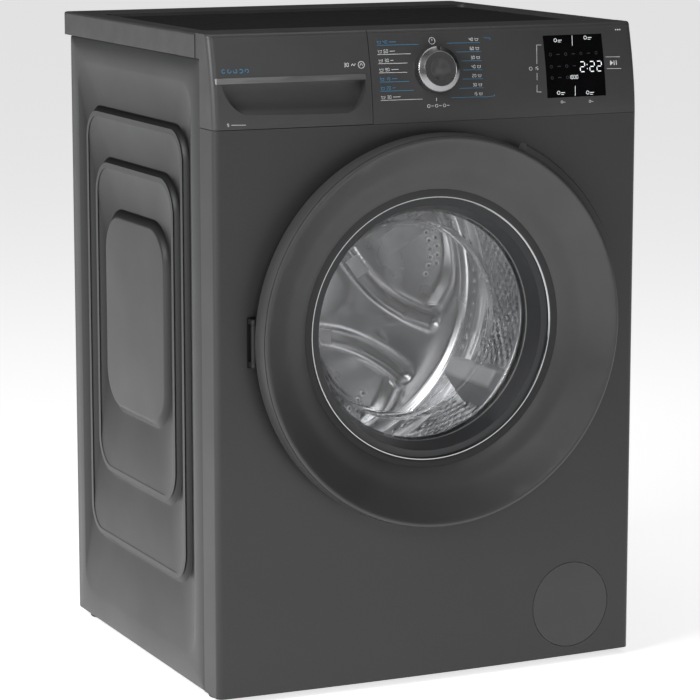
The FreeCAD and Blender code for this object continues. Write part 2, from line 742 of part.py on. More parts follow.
def door_dish():
    """Concave front ring of the door, from the crest in to the window."""
    outside = [(249.9, door_y(36.6)), (246.5, door_y(38.2)), (241, door_y(35.2)), (230, door_y(26.5)),
               (216, door_y(16.6)), (204, door_y(10)), (195, door_y(7.2)), (187, door_y(4.2)),
               (DISH_INNER_RADIUS, door_y(0))]
    inside = [(DISH_INNER_RADIUS + 0.8, door_y(-2.8)), (188, door_y(1.4)), (196, door_y(4.4)),
              (205.5, door_y(7.4)), (217.5, door_y(14)), (231.5, door_y(23.8)), (242, door_y(32.4)),
              (247.7, door_y(34.9))]
    dish = turned_curves([outside, [outside[-1], inside[0]], inside, [inside[-1], outside[0]]])
    bosses = [rod(4.5, at_angle(angle, DOOR_SCREW_RADIUS, door_y(6)),
                  at_angle(angle, DOOR_SCREW_RADIUS, FRAME_REAR - FRAME_THICKNESS))
              for angle in door_screw_angles()]
    holes = [rod(1.8, at_angle(angle, DOOR_SCREW_RADIUS, door_y(3)),
                 at_angle(angle, DOOR_SCREW_RADIUS, FRAME_REAR))
             for angle in door_screw_angles()]
    return dish.fuse(bosses).cut(holes)


def door_screw_angles():
    return [360.0 / DOOR_SCREW_COUNT * (index + 0.5) for index in range(DOOR_SCREW_COUNT)]


def door_bezel():
    """Dark flat ring between the dish and the glass."""
    return turned([
        (DISH_INNER_RADIUS - 0.3, door_y(0)), (DISH_INNER_RADIUS - 0.3, door_y(-4.4)),
        (170.0, door_y(-4.4)), (170.0, door_y(-1.2)), (172.5, door_y(-0.6)),
    ])


def door_trim_ring():
    return turned([(169.8, door_y(-0.8)), (169.8, door_y(-4.6)), (167.8, door_y(-4.6)),
                   (167.8, door_y(-1.6)), (168.6, door_y(-0.8))])


def door_glass():
    """Glass bowl: a flat edge, a tapered side and a slightly domed end."""
    flange = [(186, door_y(-5.0)), (186, -244.2)]
    outside = [(161.5, -244.2), (134.5, -173)]
    corner_out = [(134.5, -173), (130.6, -167), (123, -164.2)]
    end_out = [(123, -164.2), (64, -161.6), (0, -160.8)]
    end_in = [(0, -164.8), (64, -165.6), (122, -168.4)]
    corner_in = [(122, -168.4), (127.6, -170.4), (130.6, -174.6)]
    inside = [(130.6, -174.6), (158.5, door_y(-5.0))]
    return turned_curves([
        flange, [flange[1], outside[0]], outside, corner_out, end_out, [end_out[-1], end_in[0]],
        end_in, corner_in, inside, [inside[-1], flange[0]],
    ])


def door_rear_frame():
    """Ring behind the dish that clamps the glass and carries the hinge and the latch."""
    front = FRAME_REAR - FRAME_THICKNESS
    plate = turned([(FRAME_INNER_RADIUS, front), (FRAME_OUTER_RADIUS, front),
                    (FRAME_OUTER_RADIUS, FRAME_REAR), (FRAME_INNER_RADIUS, FRAME_REAR)])
    wall = turned([(FRAME_OUTER_RADIUS - PLASTIC, -262.5), (FRAME_OUTER_RADIUS, -262.5),
                   (FRAME_OUTER_RADIUS, front), (FRAME_OUTER_RADIUS - PLASTIC, front)])
    stop = turned([(187, front - 4), (190, front - 4), (190, front), (187, front)])
    frame = plate.fuse([wall, stop])
    for side in (-1, 1):
        x = LATCH_X + side * 7.2
        lug = box(x - 2.5, x + 2.5, -257, front, LATCH_PIVOT_Z - 6, LATCH_PIVOT_Z + 6)
        frame = frame.fuse(lug)
    hook_room = box(LATCH_X - 4.6, LATCH_X + 4.6, -262, FRAME_REAR + 1, AXIS_HEIGHT - 13, AXIS_HEIGHT + 13)
    pin_hole = rod(LATCH_PIN_RADIUS + RUNNING_FIT, (LATCH_X - 12, LATCH_PIVOT_Y, LATCH_PIVOT_Z),
                   (LATCH_X + 12, LATCH_PIVOT_Y, LATCH_PIVOT_Z))
    arm_room = box(-FRAME_OUTER_RADIUS - 6, -FRAME_OUTER_RADIUS + 12, HINGE_Y - 1.7, HINGE_Y + 2.5,
                   AXIS_HEIGHT - 25, AXIS_HEIGHT + 25)
    frame = frame.cut([hook_room, pin_hole, arm_room])
    holes = [rod(2.0, at_angle(angle, DOOR_SCREW_RADIUS, -250), at_angle(angle, DOOR_SCREW_RADIUS, -230))
             for angle in door_screw_angles()]
    return frame.cut(holes)


def door_hinge_arm():
    """Steel arm from the hinge pin to the rear frame."""
    knuckle_half = HINGE_HALF_HEIGHT - HINGE_LUG_HEIGHT - 0.4
    low = AXIS_HEIGHT - knuckle_half
    high = AXIS_HEIGHT + knuckle_half
    knuckle = rod(HINGE_KNUCKLE_RADIUS, (HINGE_X, HINGE_Y, low), (HINGE_X, HINGE_Y, high))
    plate = box(HINGE_X, -FRAME_OUTER_RADIUS + 10, HINGE_Y - 1.5, HINGE_Y + 1.5, low, high)
    web = box(-FRAME_OUTER_RADIUS + 7, -FRAME_OUTER_RADIUS + 10, HINGE_Y - 1.5,
              FRAME_REAR - FRAME_THICKNESS, low, high)
    bore = rod(HINGE_PIN_RADIUS + RUNNING_FIT, (HINGE_X, HINGE_Y, low - 1), (HINGE_X, HINGE_Y, high + 1))
    return knuckle.fuse([plate, web]).cut(bore)


def door_screws():
    screws = []
    for angle in door_screw_angles():
        shank = rod(1.7, at_angle(angle, DOOR_SCREW_RADIUS, door_y(2)),
                    at_angle(angle, DOOR_SCREW_RADIUS, FRAME_REAR))
        head = rod(3.8, at_angle(angle, DOOR_SCREW_RADIUS, FRAME_REAR),
                   at_angle(angle, DOOR_SCREW_RADIUS, FRAME_REAR + 2))
        screws.append(shank.fuse(head))
    return Part.makeCompound(screws)


def latch_hook():
    """Sprung hook on the door; its beak catches behind the lock's keeper."""
    half = 4.0
    x0 = LATCH_X - half
    x1 = LATCH_X + half
    boss = rod(5.0, (x0, LATCH_PIVOT_Y, LATCH_PIVOT_Z), (x1, LATCH_PIVOT_Y, LATCH_PIVOT_Z))
    arm = box(x0, x1, LATCH_PIVOT_Y, -222, AXIS_HEIGHT - 1, AXIS_HEIGHT + 7)
    beak = box(x0, x1, -229, -222, AXIS_HEIGHT - 8, AXIS_HEIGHT)
    pin = rod(LATCH_PIN_RADIUS, (LATCH_X - 9.5, LATCH_PIVOT_Y, LATCH_PIVOT_Z),
              (LATCH_X + 9.5, LATCH_PIVOT_Y, LATCH_PIVOT_Z))
    return boss.fuse([arm, beak, pin])


def hinge_bracket():
    """Plate behind the front panel with two lugs and the hinge pin."""
    plate = box(HINGE_X - 12, HINGE_X + 20, -247.2, -244.7, AXIS_HEIGHT - 52, AXIS_HEIGHT + 52)
    bracket = plate
    for side in (-1, 1):
        near = AXIS_HEIGHT + side * (HINGE_HALF_HEIGHT - HINGE_LUG_HEIGHT)
        far = AXIS_HEIGHT + side * HINGE_HALF_HEIGHT
        low, high = min(near, far), max(near, far)
        eye = rod(HINGE_KNUCKLE_RADIUS, (HINGE_X, HINGE_Y, low), (HINGE_X, HINGE_Y, high))
        neck = box(HINGE_X - HINGE_KNUCKLE_RADIUS, HINGE_X + HINGE_KNUCKLE_RADIUS, HINGE_Y, -246, low, high)
        bracket = bracket.fuse([eye, neck])
    pin = rod(HINGE_PIN_RADIUS, (HINGE_X, HINGE_Y, AXIS_HEIGHT - HINGE_HALF_HEIGHT),
              (HINGE_X, HINGE_Y, AXIS_HEIGHT + HINGE_HALF_HEIGHT))
    return bracket.fuse(pin)


def door_lock():
    """Lock behind the front panel, with its keeper drawn down to let the hook's beak pass."""
    front = RECESS_FLOOR + SHEET + 0.2
    body = box(LATCH_X - 15, LATCH_X + 25, front, -213, AXIS_HEIGHT - 36, AXIS_HEIGHT + 36)
    room = box(LATCH_X - 7, LATCH_X + 7, -FAR, -216, AXIS_HEIGHT - 12, AXIS_HEIGHT + 16)
    keeper = box(LATCH_X - 7, LATCH_X + 7, -234.5, -230, AXIS_HEIGHT - 12, AXIS_HEIGHT - 8.6)
    return body.cut(room).fuse(keeper)


# ---- service flap and pump ----

def service_flap():
    disc = rod(FLAP_RADIUS, (FLAP_X, -FAR, FLAP_HEIGHT), (FLAP_X, -230, FLAP_HEIGHT))
    skin = front_block(0.0, CABINET_BOTTOM, 200).cut(front_block(FLAP_THICKNESS, 0, 300, SIDE_FRONT + 1))
    flap = skin.common(disc)
    dimple = Part.makeSphere(7.0, Vector(FLAP_X - 42, front_y(FLAP_X - 42) - 5.8, FLAP_HEIGHT - 4))
    catch = box(FLAP_X - 53, FLAP_X - 42, -251.0, -245.5, FLAP_HEIGHT - 8, FLAP_HEIGHT + 8)
    hinge_lug = box(FLAP_X + 44, FLAP_X + 61, -246.9, -244.9, FLAP_HEIGHT - 8, FLAP_HEIGHT + 8)
    return flap.fuse([catch, hinge_lug]).cut(dimple)


def drain_pump():
    """Filter housing behind the flap, with the pump chamber and its sealed motor at the back."""
    barrel = rod(PUMP_RADIUS, (FLAP_X, -240, FLAP_HEIGHT), (FLAP_X, -128, FLAP_HEIGHT))
    flange = rod(62, (FLAP_X, -240, FLAP_HEIGHT), (FLAP_X, -237, FLAP_HEIGHT))
    stand = box(FLAP_X - 20, FLAP_X + 20, -225, -140, TRAY_FLOOR_BOTTOM + FLOOR_THICKNESS, FLAP_HEIGHT)
    motor = rod(26, (FLAP_X, -128, FLAP_HEIGHT), (FLAP_X, -76, FLAP_HEIGHT))
    terminals = box(FLAP_X - 10, FLAP_X + 10, -96, -84, FLAP_HEIGHT + 20, FLAP_HEIGHT + 36)
    inlet = rod(14, (FLAP_X - 52, PUMP_HOSE_Y, FLAP_HEIGHT), (FLAP_X, PUMP_HOSE_Y, FLAP_HEIGHT))
    outlet_z = FLAP_HEIGHT + DRAIN_RISE
    outlet = rod(DRAIN_PIPE_RADIUS, (FLAP_X, DRAIN_Y, outlet_z), (FLAP_X + 44, DRAIN_Y, outlet_z))
    bore = rod(PUMP_BORE, (FLAP_X, -FAR, FLAP_HEIGHT), (FLAP_X, -132, FLAP_HEIGHT))
    inlet_bore = rod(11, (FLAP_X - 60, PUMP_HOSE_Y, FLAP_HEIGHT), (FLAP_X, PUMP_HOSE_Y, FLAP_HEIGHT))
    outlet_bore = rod(DRAIN_PIPE_BORE, (FLAP_X, DRAIN_Y, outlet_z), (FLAP_X + 60, DRAIN_Y, outlet_z))
    shaft_hole = rod(2.0 + RUNNING_FIT, (FLAP_X, -140, FLAP_HEIGHT), (FLAP_X, -112, FLAP_HEIGHT))
    pump = barrel.fuse([flange, stand, motor, terminals, inlet, outlet])
    return pump.cut([bore, inlet_bore, outlet_bore, shaft_hole])


def pump_impeller():
    hub = rod(7, (FLAP_X, -150, FLAP_HEIGHT), (FLAP_X, -134, FLAP_HEIGHT))
    shaft = rod(2.0, (FLAP_X, -150, FLAP_HEIGHT), (FLAP_X, -114, FLAP_HEIGHT))
    plate = rod(24, (FLAP_X, -136, FLAP_HEIGHT), (FLAP_X, -134, FLAP_HEIGHT))
    wheel = hub.fuse([shaft, plate])
    for index in range(6):
        blade = box(FLAP_X + 4, FLAP_X + 24, -150, -136, FLAP_HEIGHT - 1, FLAP_HEIGHT + 1)
        blade.rotate(Vector(FLAP_X, 0, FLAP_HEIGHT), Vector(0, 1, 0), 60 * index)
        wheel = wheel.fuse(blade)
    return wheel


def filter_cap():
    radius = PUMP_BORE - RUNNING_FIT
    plug = rod(radius, (FLAP_X, -240, FLAP_HEIGHT), (FLAP_X, -226, FLAP_HEIGHT))
    grip = box(FLAP_X - 25, FLAP_X + 25, -243.5, -240, FLAP_HEIGHT - 5, FLAP_HEIGHT + 5)
    basket = tube(radius - 6, radius - 8, (FLAP_X, -226, FLAP_HEIGHT), (FLAP_X, -196, FLAP_HEIGHT))
    return plug.fuse([grip, basket])


# ---- drawer ----

def drawer_front():
    left_part = box(-FAR, DRAWER_RIGHT, -FAR, FAR, SEAM_HEIGHT + SEAM_GAP, TOP_HEIGHT + 1)
    shell = fascia_shell().common(left_part)
    solid = fascia_block(0.0, SEAM_HEIGHT, SIDE_FRONT - SEAM_GAP)
    bottom = SEAM_HEIGHT + SEAM_GAP
    end_wall = solid.common(box(DRAWER_RIGHT - PLASTIC, DRAWER_RIGHT, -FAR, FAR, bottom, TOP_HEIGHT))
    backing = solid.common(box(CAVITY_LEFT - PLASTIC, DRAWER_RIGHT, -FAR, TRAY_FRONT,
                               CAVITY_BOTTOM - PLASTIC, STRIP_TOP + 6))
    floor = solid.common(box(-FAR, DRAWER_RIGHT, -FAR, TRAY_FRONT, bottom, bottom + PLASTIC))
    front = shell.fuse([end_wall, backing, floor])
    return front.cut([finger_cavity(), strip_block(0.0, 1.2)])


def finger_cavity():
    """Scoop under the strip: shallow below, deep above, with tapered rounded ends."""
    top = STRIP_BOTTOM - 0.8
    low_left = Vector(CAVITY_LEFT + 48, -FAR, CAVITY_BOTTOM)
    low_right = Vector(CAVITY_RIGHT - 36, -FAR, CAVITY_BOTTOM)
    outline = [
        Part.LineSegment(Vector(CAVITY_RIGHT, -FAR, top), Vector(CAVITY_LEFT, -FAR, top)),
        Part.Arc(Vector(CAVITY_LEFT, -FAR, top),
                 Vector(CAVITY_LEFT + 18, -FAR, CAVITY_BOTTOM + 10), low_left),
        Part.LineSegment(low_left, low_right),
        Part.Arc(low_right, Vector(CAVITY_RIGHT - 10, -FAR, CAVITY_BOTTOM + 11),
                 Vector(CAVITY_RIGHT, -FAR, top)),
    ]
    wire = Part.Wire([edge.toShape() for edge in outline])
    column = Part.Face(wire).extrude(Vector(0, FAR + RIM_FRONT, 0))
    front = fascia_y(CAVITY_BOTTOM) - 1.0
    deep = front + CAVITY_DEPTH
    section = [
        Part.Arc(Vector(-FAR, front, CAVITY_BOTTOM), Vector(-FAR, front + 15, CAVITY_BOTTOM + 12),
                 Vector(-FAR, deep, top)),
        Part.LineSegment(Vector(-FAR, deep, top), Vector(-FAR, front - 20, top)),
        Part.LineSegment(Vector(-FAR, front - 20, top), Vector(-FAR, front - 20, CAVITY_BOTTOM)),
        Part.LineSegment(Vector(-FAR, front - 20, CAVITY_BOTTOM), Vector(-FAR, front, CAVITY_BOTTOM)),
    ]
    scoop_wire = Part.Wire([edge.toShape() for edge in section])
    scoop = Part.Face(scoop_wire).extrude(Vector(FAR, 0, 0))
    return column.common(scoop)


def strip_block(proud, depth):
    """Piece of a skin that follows the fascia, as wide and high as the metal strip."""
    reach = box(STRIP_LEFT, STRIP_RIGHT, -FAR, -220, STRIP_BOTTOM, STRIP_TOP)
    return fascia_skin(-proud, depth).common(reach)


def drawer_strip():
    return strip_block(STRIP_PROUD, 1.2)


def drawer_tray():
    """Detergent tray with three compartments, open above."""
    tray = box(TRAY_LEFT, TRAY_RIGHT, TRAY_FRONT, TRAY_REAR, TRAY_BOTTOM, TRAY_TOP)
    columns = [
        (TRAY_LEFT + TRAY_WALL, SOFTENER_LEFT - TRAY_WALL),
        (SOFTENER_LEFT, SOFTENER_RIGHT),
        (SOFTENER_RIGHT + TRAY_WALL, TRAY_RIGHT - TRAY_WALL),
    ]
    for left, right in columns:
        tray = tray.cut(box(left, right, TRAY_FRONT + TRAY_WALL, TRAY_REAR - TRAY_WALL,
                            TRAY_BOTTOM + TRAY_WALL, TRAY_TOP + 1))
    for left, right in (columns[0], columns[2]):
        tray = tray.cut(box(left + 4, right - 4, TRAY_REAR - 3, TRAY_REAR + 1,
                            TRAY_BOTTOM + TRAY_WALL, TRAY_BOTTOM + 26))
    middle = 0.5 * (SOFTENER_LEFT + SOFTENER_RIGHT)
    siphon = tube(5.0, 3.2, (middle, -60, TRAY_BOTTOM), (middle, -60, TRAY_BOTTOM + 42))
    outlet = rod(3.2, (middle, -60, TRAY_BOTTOM - 1), (middle, -60, TRAY_BOTTOM + 10))
    return tray.fuse(siphon).cut(outlet)


def drawer_housing():
    """Box that holds the tray, with the water chamber above and the outlet below."""
    outer = box(HOUSING_LEFT, HOUSING_RIGHT, HOUSING_FRONT, HOUSING_REAR, HOUSING_BOTTOM, HOUSING_TOP)
    room = box(HOUSING_LEFT + PLASTIC, HOUSING_RIGHT - PLASTIC, HOUSING_FRONT - 1, HOUSING_REAR - PLASTIC,
               HOUSING_BOTTOM + PLASTIC, TRAY_TOP + 6)
    chamber = box(HOUSING_LEFT + PLASTIC, HOUSING_RIGHT - PLASTIC, HOUSING_FRONT + PLASTIC,
                  HOUSING_REAR - PLASTIC, TRAY_TOP + 8, HOUSING_TOP - PLASTIC)
    housing = outer.cut([room, chamber])
    outlet_top = (DISPENSER_X, DISPENSER_Y, HOUSING_BOTTOM + 1)
    outlet_end = (DISPENSER_X, DISPENSER_Y, HOUSING_BOTTOM - 18)
    inlet = rod(7, (INLET_X, HOUSING_REAR - 1, INLET_HEIGHT), (INLET_X, HOUSING_REAR + 11.8, INLET_HEIGHT))
    housing = housing.fuse([rod(20, outlet_top, outlet_end), inlet])
    outlet_bore = rod(16.5, (DISPENSER_X, DISPENSER_Y, HOUSING_BOTTOM + PLASTIC + 1), outlet_end)
    return housing.cut(outlet_bore)


# ---- programme knob ----

def programme_knob():
    axis = knob_axis()
    base = 0.8
    side = Part.makeCylinder(KNOB_RADIUS, KNOB_SIDE - base, knob_point(base), axis)
    bevel = Part.makeCone(KNOB_RADIUS, KNOB_FACE_RADIUS, KNOB_LENGTH - KNOB_SIDE, knob_point(KNOB_SIDE), axis)
    stem = Part.makeCylinder(KNOB_STEM_RADIUS, 20.0 + base, knob_point(-20.0), axis)
    up = axis.cross(Vector(1, 0, 0)) * -1.0
    notch = Part.makeBox(3.0, 8.0, 8.0)
    notch.translate(Vector(-1.5, -4.0, -4.0))
    notch.Placement = FreeCAD.Placement(knob_point(KNOB_LENGTH) + up * (KNOB_RADIUS + 0.5),
                                        FreeCAD.Rotation(Vector(0, 0, 1), up)).multiply(notch.Placement)
    return side.fuse([bevel, stem]).cut(notch)


# ---- tub ----

def tub_front_shell():
    outer = TUB_RADIUS + TUB_WALL
    shell = turned([
        (COLLAR_RADIUS - TUB_WALL, TUB_FRONT - 12), (COLLAR_RADIUS, TUB_FRONT - 12),
        (COLLAR_RADIUS, TUB_FRONT), (outer, TUB_FRONT), (outer, TUB_JOINT - 5),
        (TUB_RIB_RADIUS, TUB_JOINT - 5), (TUB_RIB_RADIUS, TUB_JOINT), (TUB_RADIUS, TUB_JOINT),
        (TUB_RADIUS, TUB_FRONT + TUB_WALL), (COLLAR_RADIUS - TUB_WALL, TUB_FRONT + TUB_WALL),
    ])
    neck = tube(20, 16, (DISPENSER_X, DISPENSER_Y, 640), (DISPENSER_X, DISPENSER_Y, 690))
    sump = rod(18, (96, -90, 212), (96, -90, 260))
    sump_bore = rod(14, (96, -90, 205), (96, -90, 260))
    inside = rod(TUB_RADIUS, (0, TUB_FRONT + TUB_WALL, AXIS_HEIGHT), (0, TUB_JOINT, AXIS_HEIGHT))
    inlet_bore = rod(16, (DISPENSER_X, DISPENSER_Y, 620), (DISPENSER_X, DISPENSER_Y, 692))
    return shell.fuse([neck.cut(inside), sump.cut(inside)]).cut([sump_bore, inlet_bore])


def tub_rear_shell():
    outer = TUB_RADIUS + TUB_WALL
    joint = TUB_JOINT + 0.2
    shell = turned([
        (TUB_RADIUS, joint), (TUB_RIB_RADIUS, joint), (TUB_RIB_RADIUS, joint + 5), (outer, joint + 5),
        (outer, TUB_REAR), (HUB_RADIUS, TUB_REAR), (HUB_RADIUS, HUB_REAR), (BEARING_RADIUS, HUB_REAR),
        (BEARING_RADIUS, 196), (SHAFT_RADIUS + 6, 196), (SHAFT_RADIUS + 6, 160), (BEARING_RADIUS, 160),
        (BEARING_RADIUS, 134), (TUB_RADIUS, 134),
    ])
    ribs = []
    for index in range(12):
        rib = box(HUB_RADIUS - 2, outer - 2, TUB_REAR - 1, TUB_REAR + 14, AXIS_HEIGHT - 2, AXIS_HEIGHT + 2)
        ribs.append(turned_to(rib, 30 * index + 15))
    sump = box(-65, 65, -16, SUMP_REAR, 200, 250)
    lugs = []
    for side in (-1, 1):
        x = side * SPRING_X
        lugs.append(box(x - 8, x + 8, SUSPENSION_Y - 8, SUSPENSION_Y + 8, 600, SPRING_BOTTOM))
        x = side * DAMPER_X
        lugs.append(box(x - 9, x + 9, SUSPENSION_Y - 9, SUSPENSION_Y + 9, DAMPER_EYE_HEIGHT, 310))
        x = MOTOR_X + side * 65
        lugs.append(box(x - 6, x + 6, 80, 130, MOTOR_HEIGHT + 64, 250))
    inside = rod(TUB_RADIUS, (0, -30, AXIS_HEIGHT), (0, 134, AXIS_HEIGHT))
    sump_room = box(-61, 61, -12, SUMP_REAR - 4, 204, 250)
    heater_holes = [rod(HEATER_RADIUS + RUNNING_FIT, (x, 90, HEATER_HEIGHT), (x, 125, HEATER_HEIGHT))
                    for x in (-34, -14, 14, 34)]
    flange_room = box(-44.3, 44.3, SUMP_REAR, SUMP_REAR + 4.3, HEATER_HEIGHT - 10.3, HEATER_HEIGHT + 5.8)
    outside_pieces = [piece.cut(inside) for piece in [sump] + lugs]
    return shell.fuse(ribs + outside_pieces).cut([sump_room, flange_room] + heater_holes)


def front_weights():
    """Two concrete weights on the tub's front, which leave the door lock's side free."""
    ring = tube(WEIGHT_OUTER_RADIUS, WEIGHT_INNER_RADIUS,
                (0, WEIGHT_FRONT, AXIS_HEIGHT), (0, TUB_FRONT - 0.2, AXIS_HEIGHT))
    half = 0.5 * WEIGHT_ARC
    weights = [ring.common(sector(middle - half, middle + half, -FAR, 0)) for middle in (90.0, 270.0)]
    return Part.makeCompound(weights)


def drum_bearings():
    """Two bearings in the tub's hub and the water seal in front of them."""
    rings = []
    for y0, y1 in ((134.5, 141.5), (142, 158), (198, 212)):
        rings.append(tube(BEARING_RADIUS, SHAFT_RADIUS + RUNNING_FIT,
                          (0, y0, AXIS_HEIGHT), (0, y1, AXIS_HEIGHT)))
    return Part.makeCompound(rings)


def heating_element():
    """Bent heater rod in the sump, with its terminals behind the flange."""
    z = HEATER_HEIGHT
    loops = [tube_pair(x0, x1, z) for x0, x1 in ((-34, -14), (14, 34))]
    flange = box(-44, 44, SUMP_REAR, SUMP_REAR + 4, z - 10, z + 5.5)
    terminals = [box(x - 2.5, x + 2.5, 116, 128, z - 1, z + 1) for x in (-34, 34)]
    return flange.fuse(loops + terminals)


def tube_pair(x0, x1, z):
    """Two parallel heater rods joined at the front by half a turn."""
    middle = 0.5 * (x0 + x1)
    radius = 0.5 * (x1 - x0)
    turn = Part.makeTorus(radius, HEATER_RADIUS, Vector(middle, 4, z), Vector(0, 0, 1))
    turn = turn.common(box(x0 - 5, x1 + 5, -20, 4, z - 5, z + 5))
    legs = [rod(HEATER_RADIUS, (x, 4, z), (x, SUMP_REAR + 1, z)) for x in (x0, x1)]
    return turn.fuse(legs)


def motor_rod(radius, y0, y1):
    """Rod along the motor's axis."""
    return rod(radius, (MOTOR_X, y0, MOTOR_HEIGHT), (MOTOR_X, y1, MOTOR_HEIGHT))


def motor_body():
    can = motor_rod(MOTOR_RADIUS, MOTOR_FRONT, MOTOR_REAR)
    end = motor_rod(MOTOR_RADIUS - 14, MOTOR_REAR, MOTOR_REAR + 12)
    ears = box(MOTOR_X - 71, MOTOR_X + 71, 80, 130, MOTOR_HEIGHT + 50, MOTOR_HEIGHT + 63.8)
    sump_room = box(-66, 66, -20, 113, 190, 260)
    well = motor_rod(6 + RUNNING_FIT, MOTOR_REAR - 20, MOTOR_REAR + 13)
    return can.fuse([end, ears]).cut([sump_room, well])


def motor_pulley():
    shaft = rod(6, (MOTOR_X, MOTOR_REAR - 18, MOTOR_HEIGHT), (MOTOR_X, PULLEY_FRONT, MOTOR_HEIGHT))
    wheel = motor_rod(MOTOR_PULLEY_RADIUS, PULLEY_FRONT, PULLEY_REAR)
    flanges = [rod(MOTOR_PULLEY_RADIUS + 5, (MOTOR_X, y, MOTOR_HEIGHT), (MOTOR_X, y + 2, MOTOR_HEIGHT))
               for y in (PULLEY_FRONT - 1, PULLEY_REAR - 1)]
    return wheel.fuse([shaft] + flanges)


def drum_pulley():
    y0 = PULLEY_FRONT
    y1 = PULLEY_REAR
    rim = tube(PULLEY_RADIUS, PULLEY_RADIUS - 7, (0, y0, AXIS_HEIGHT), (0, y1, AXIS_HEIGHT))
    hub = rod(30, (0, y0 - 4, AXIS_HEIGHT), (0, y1, AXIS_HEIGHT))
    spokes = []
    for index in range(6):
        spoke = box(26, PULLEY_RADIUS - 5, y0 + 4, y1 - 4, AXIS_HEIGHT - 8, AXIS_HEIGHT + 8)
        spokes.append(turned_to(spoke, 60 * index))
    bore = rod(SHAFT_RADIUS, (0, y0 - 10, AXIS_HEIGHT), (0, y1 + 10, AXIS_HEIGHT))
    return rim.fuse([hub] + spokes).cut(bore)


def drive_belt():
    """Flat belt round both pulleys: two arcs joined by the outer tangents."""
    y0 = PULLEY_FRONT + 3
    y1 = PULLEY_REAR - 3
    outer = belt_loop(BELT_GAP + BELT_THICKNESS, y0, y1)
    return outer.cut(belt_loop(BELT_GAP, y0 - 1, y1 + 1))


def belt_loop(grow, y0, y1):
    """Solid inside a loop round both pulleys that stands off them by the growth."""
    big = Vector(0, y0, AXIS_HEIGHT)
    small = Vector(MOTOR_X, y0, MOTOR_HEIGHT)
    big_radius = PULLEY_RADIUS + grow
    small_radius = MOTOR_PULLEY_RADIUS + grow
    along = small - big
    spread = math.degrees(math.acos((big_radius - small_radius) / along.Length))
    direction = math.degrees(math.atan2(along.z, along.x))

    def rim_point(centre, radius, angle):
        turn = math.radians(angle)
        return centre + Vector(radius * math.cos(turn), 0, radius * math.sin(turn))

    left = direction - spread
    right = direction + spread
    edges = [
        Part.Arc(rim_point(big, big_radius, right), rim_point(big, big_radius, direction + 180),
                 rim_point(big, big_radius, left)),
        Part.LineSegment(rim_point(big, big_radius, left), rim_point(small, small_radius, left)),
        Part.Arc(rim_point(small, small_radius, left), rim_point(small, small_radius, direction),
                 rim_point(small, small_radius, right)),
        Part.LineSegment(rim_point(small, small_radius, right), rim_point(big, big_radius, right)),
    ]
    wire = Part.Wire([edge.toShape() for edge in edges])
    return Part.Face(wire).extrude(Vector(0, y1 - y0, 0))


def door_gasket():
    """Rubber bellows between the front panel's opening and the tub's mouth."""
    grip = turned([(173.4, -234), (177, -234), (177, -218.6), (173.4, -218.6)])
    web = turned([(157, -221.6), (177, -221.6), (177, -218.6), (157, -218.6)])
    lip = turned([(163, -239), (165.4, -238.2), (159.6, -219), (152, -206.6), (150, -208)])
    bellows = turned([
        (174, -221.6), (177, -221.6), (186, -212), (186, -207), (173.2, -199), (173.2, -189.5),
        (COLLAR_RADIUS + 0.2, -189.5), (COLLAR_RADIUS + 0.2, -201), (182.5, -208.5),
        (182.5, -210.5), (174, -218.6),
    ])
    return grip.fuse([web, lip, bellows])


def suspension_springs():
    """Outer shape of both springs, from the tub's lugs to the brace."""
    springs = []
    for x in (-SPRING_X, SPRING_X):
        ends = (x, SUSPENSION_Y, SPRING_BOTTOM), (x, SUSPENSION_Y, SPRING_TOP)
        springs.append(tube(SPRING_RADIUS, SPRING_RADIUS - 2.5, *ends))
    return Part.makeCompound(springs)


def damper_cylinders():
    cylinders = []
    for x in (-DAMPER_X, DAMPER_X):
        body = rod(DAMPER_RADIUS, (x, SUSPENSION_Y, DAMPER_BOTTOM), (x, SUSPENSION_Y, DAMPER_TOP))
        bore = rod(DAMPER_BORE, (x, SUSPENSION_Y, DAMPER_BOTTOM + 6), (x, SUSPENSION_Y, DAMPER_TOP - 5))
        neck = rod(DAMPER_ROD_RADIUS + RUNNING_FIT, (x, SUSPENSION_Y, DAMPER_TOP - 6),
                   (x, SUSPENSION_Y, DAMPER_TOP + 1))
        cylinders.append(body.cut([bore, neck]))
    return Part.makeCompound(cylinders)


def damper_rods():
    rods = []
    for x in (-DAMPER_X, DAMPER_X):
        stem = rod(DAMPER_ROD_RADIUS, (x, SUSPENSION_Y, 110), (x, SUSPENSION_Y, DAMPER_EYE_HEIGHT))
        piston = rod(DAMPER_BORE - RUNNING_FIT, (x, SUSPENSION_Y, 100), (x, SUSPENSION_Y, 120))
        rods.append(stem.fuse(piston))
    return Part.makeCompound(rods)


def sump_hose():
    """Hose from the tub's lowest point to the drain pump."""
    return pipe([(96, -90, 211.8), (96, -90, FLAP_HEIGHT + 60), (96, PUMP_HOSE_Y, FLAP_HEIGHT),
                 (FLAP_X - 52, PUMP_HOSE_Y, FLAP_HEIGHT)], 22, 17, 14)


def dispenser_hose():
    return tube(23, 20.2, (DISPENSER_X, DISPENSER_Y, 672), (DISPENSER_X, DISPENSER_Y, HOUSING_BOTTOM - 2))


# ---- drum ----

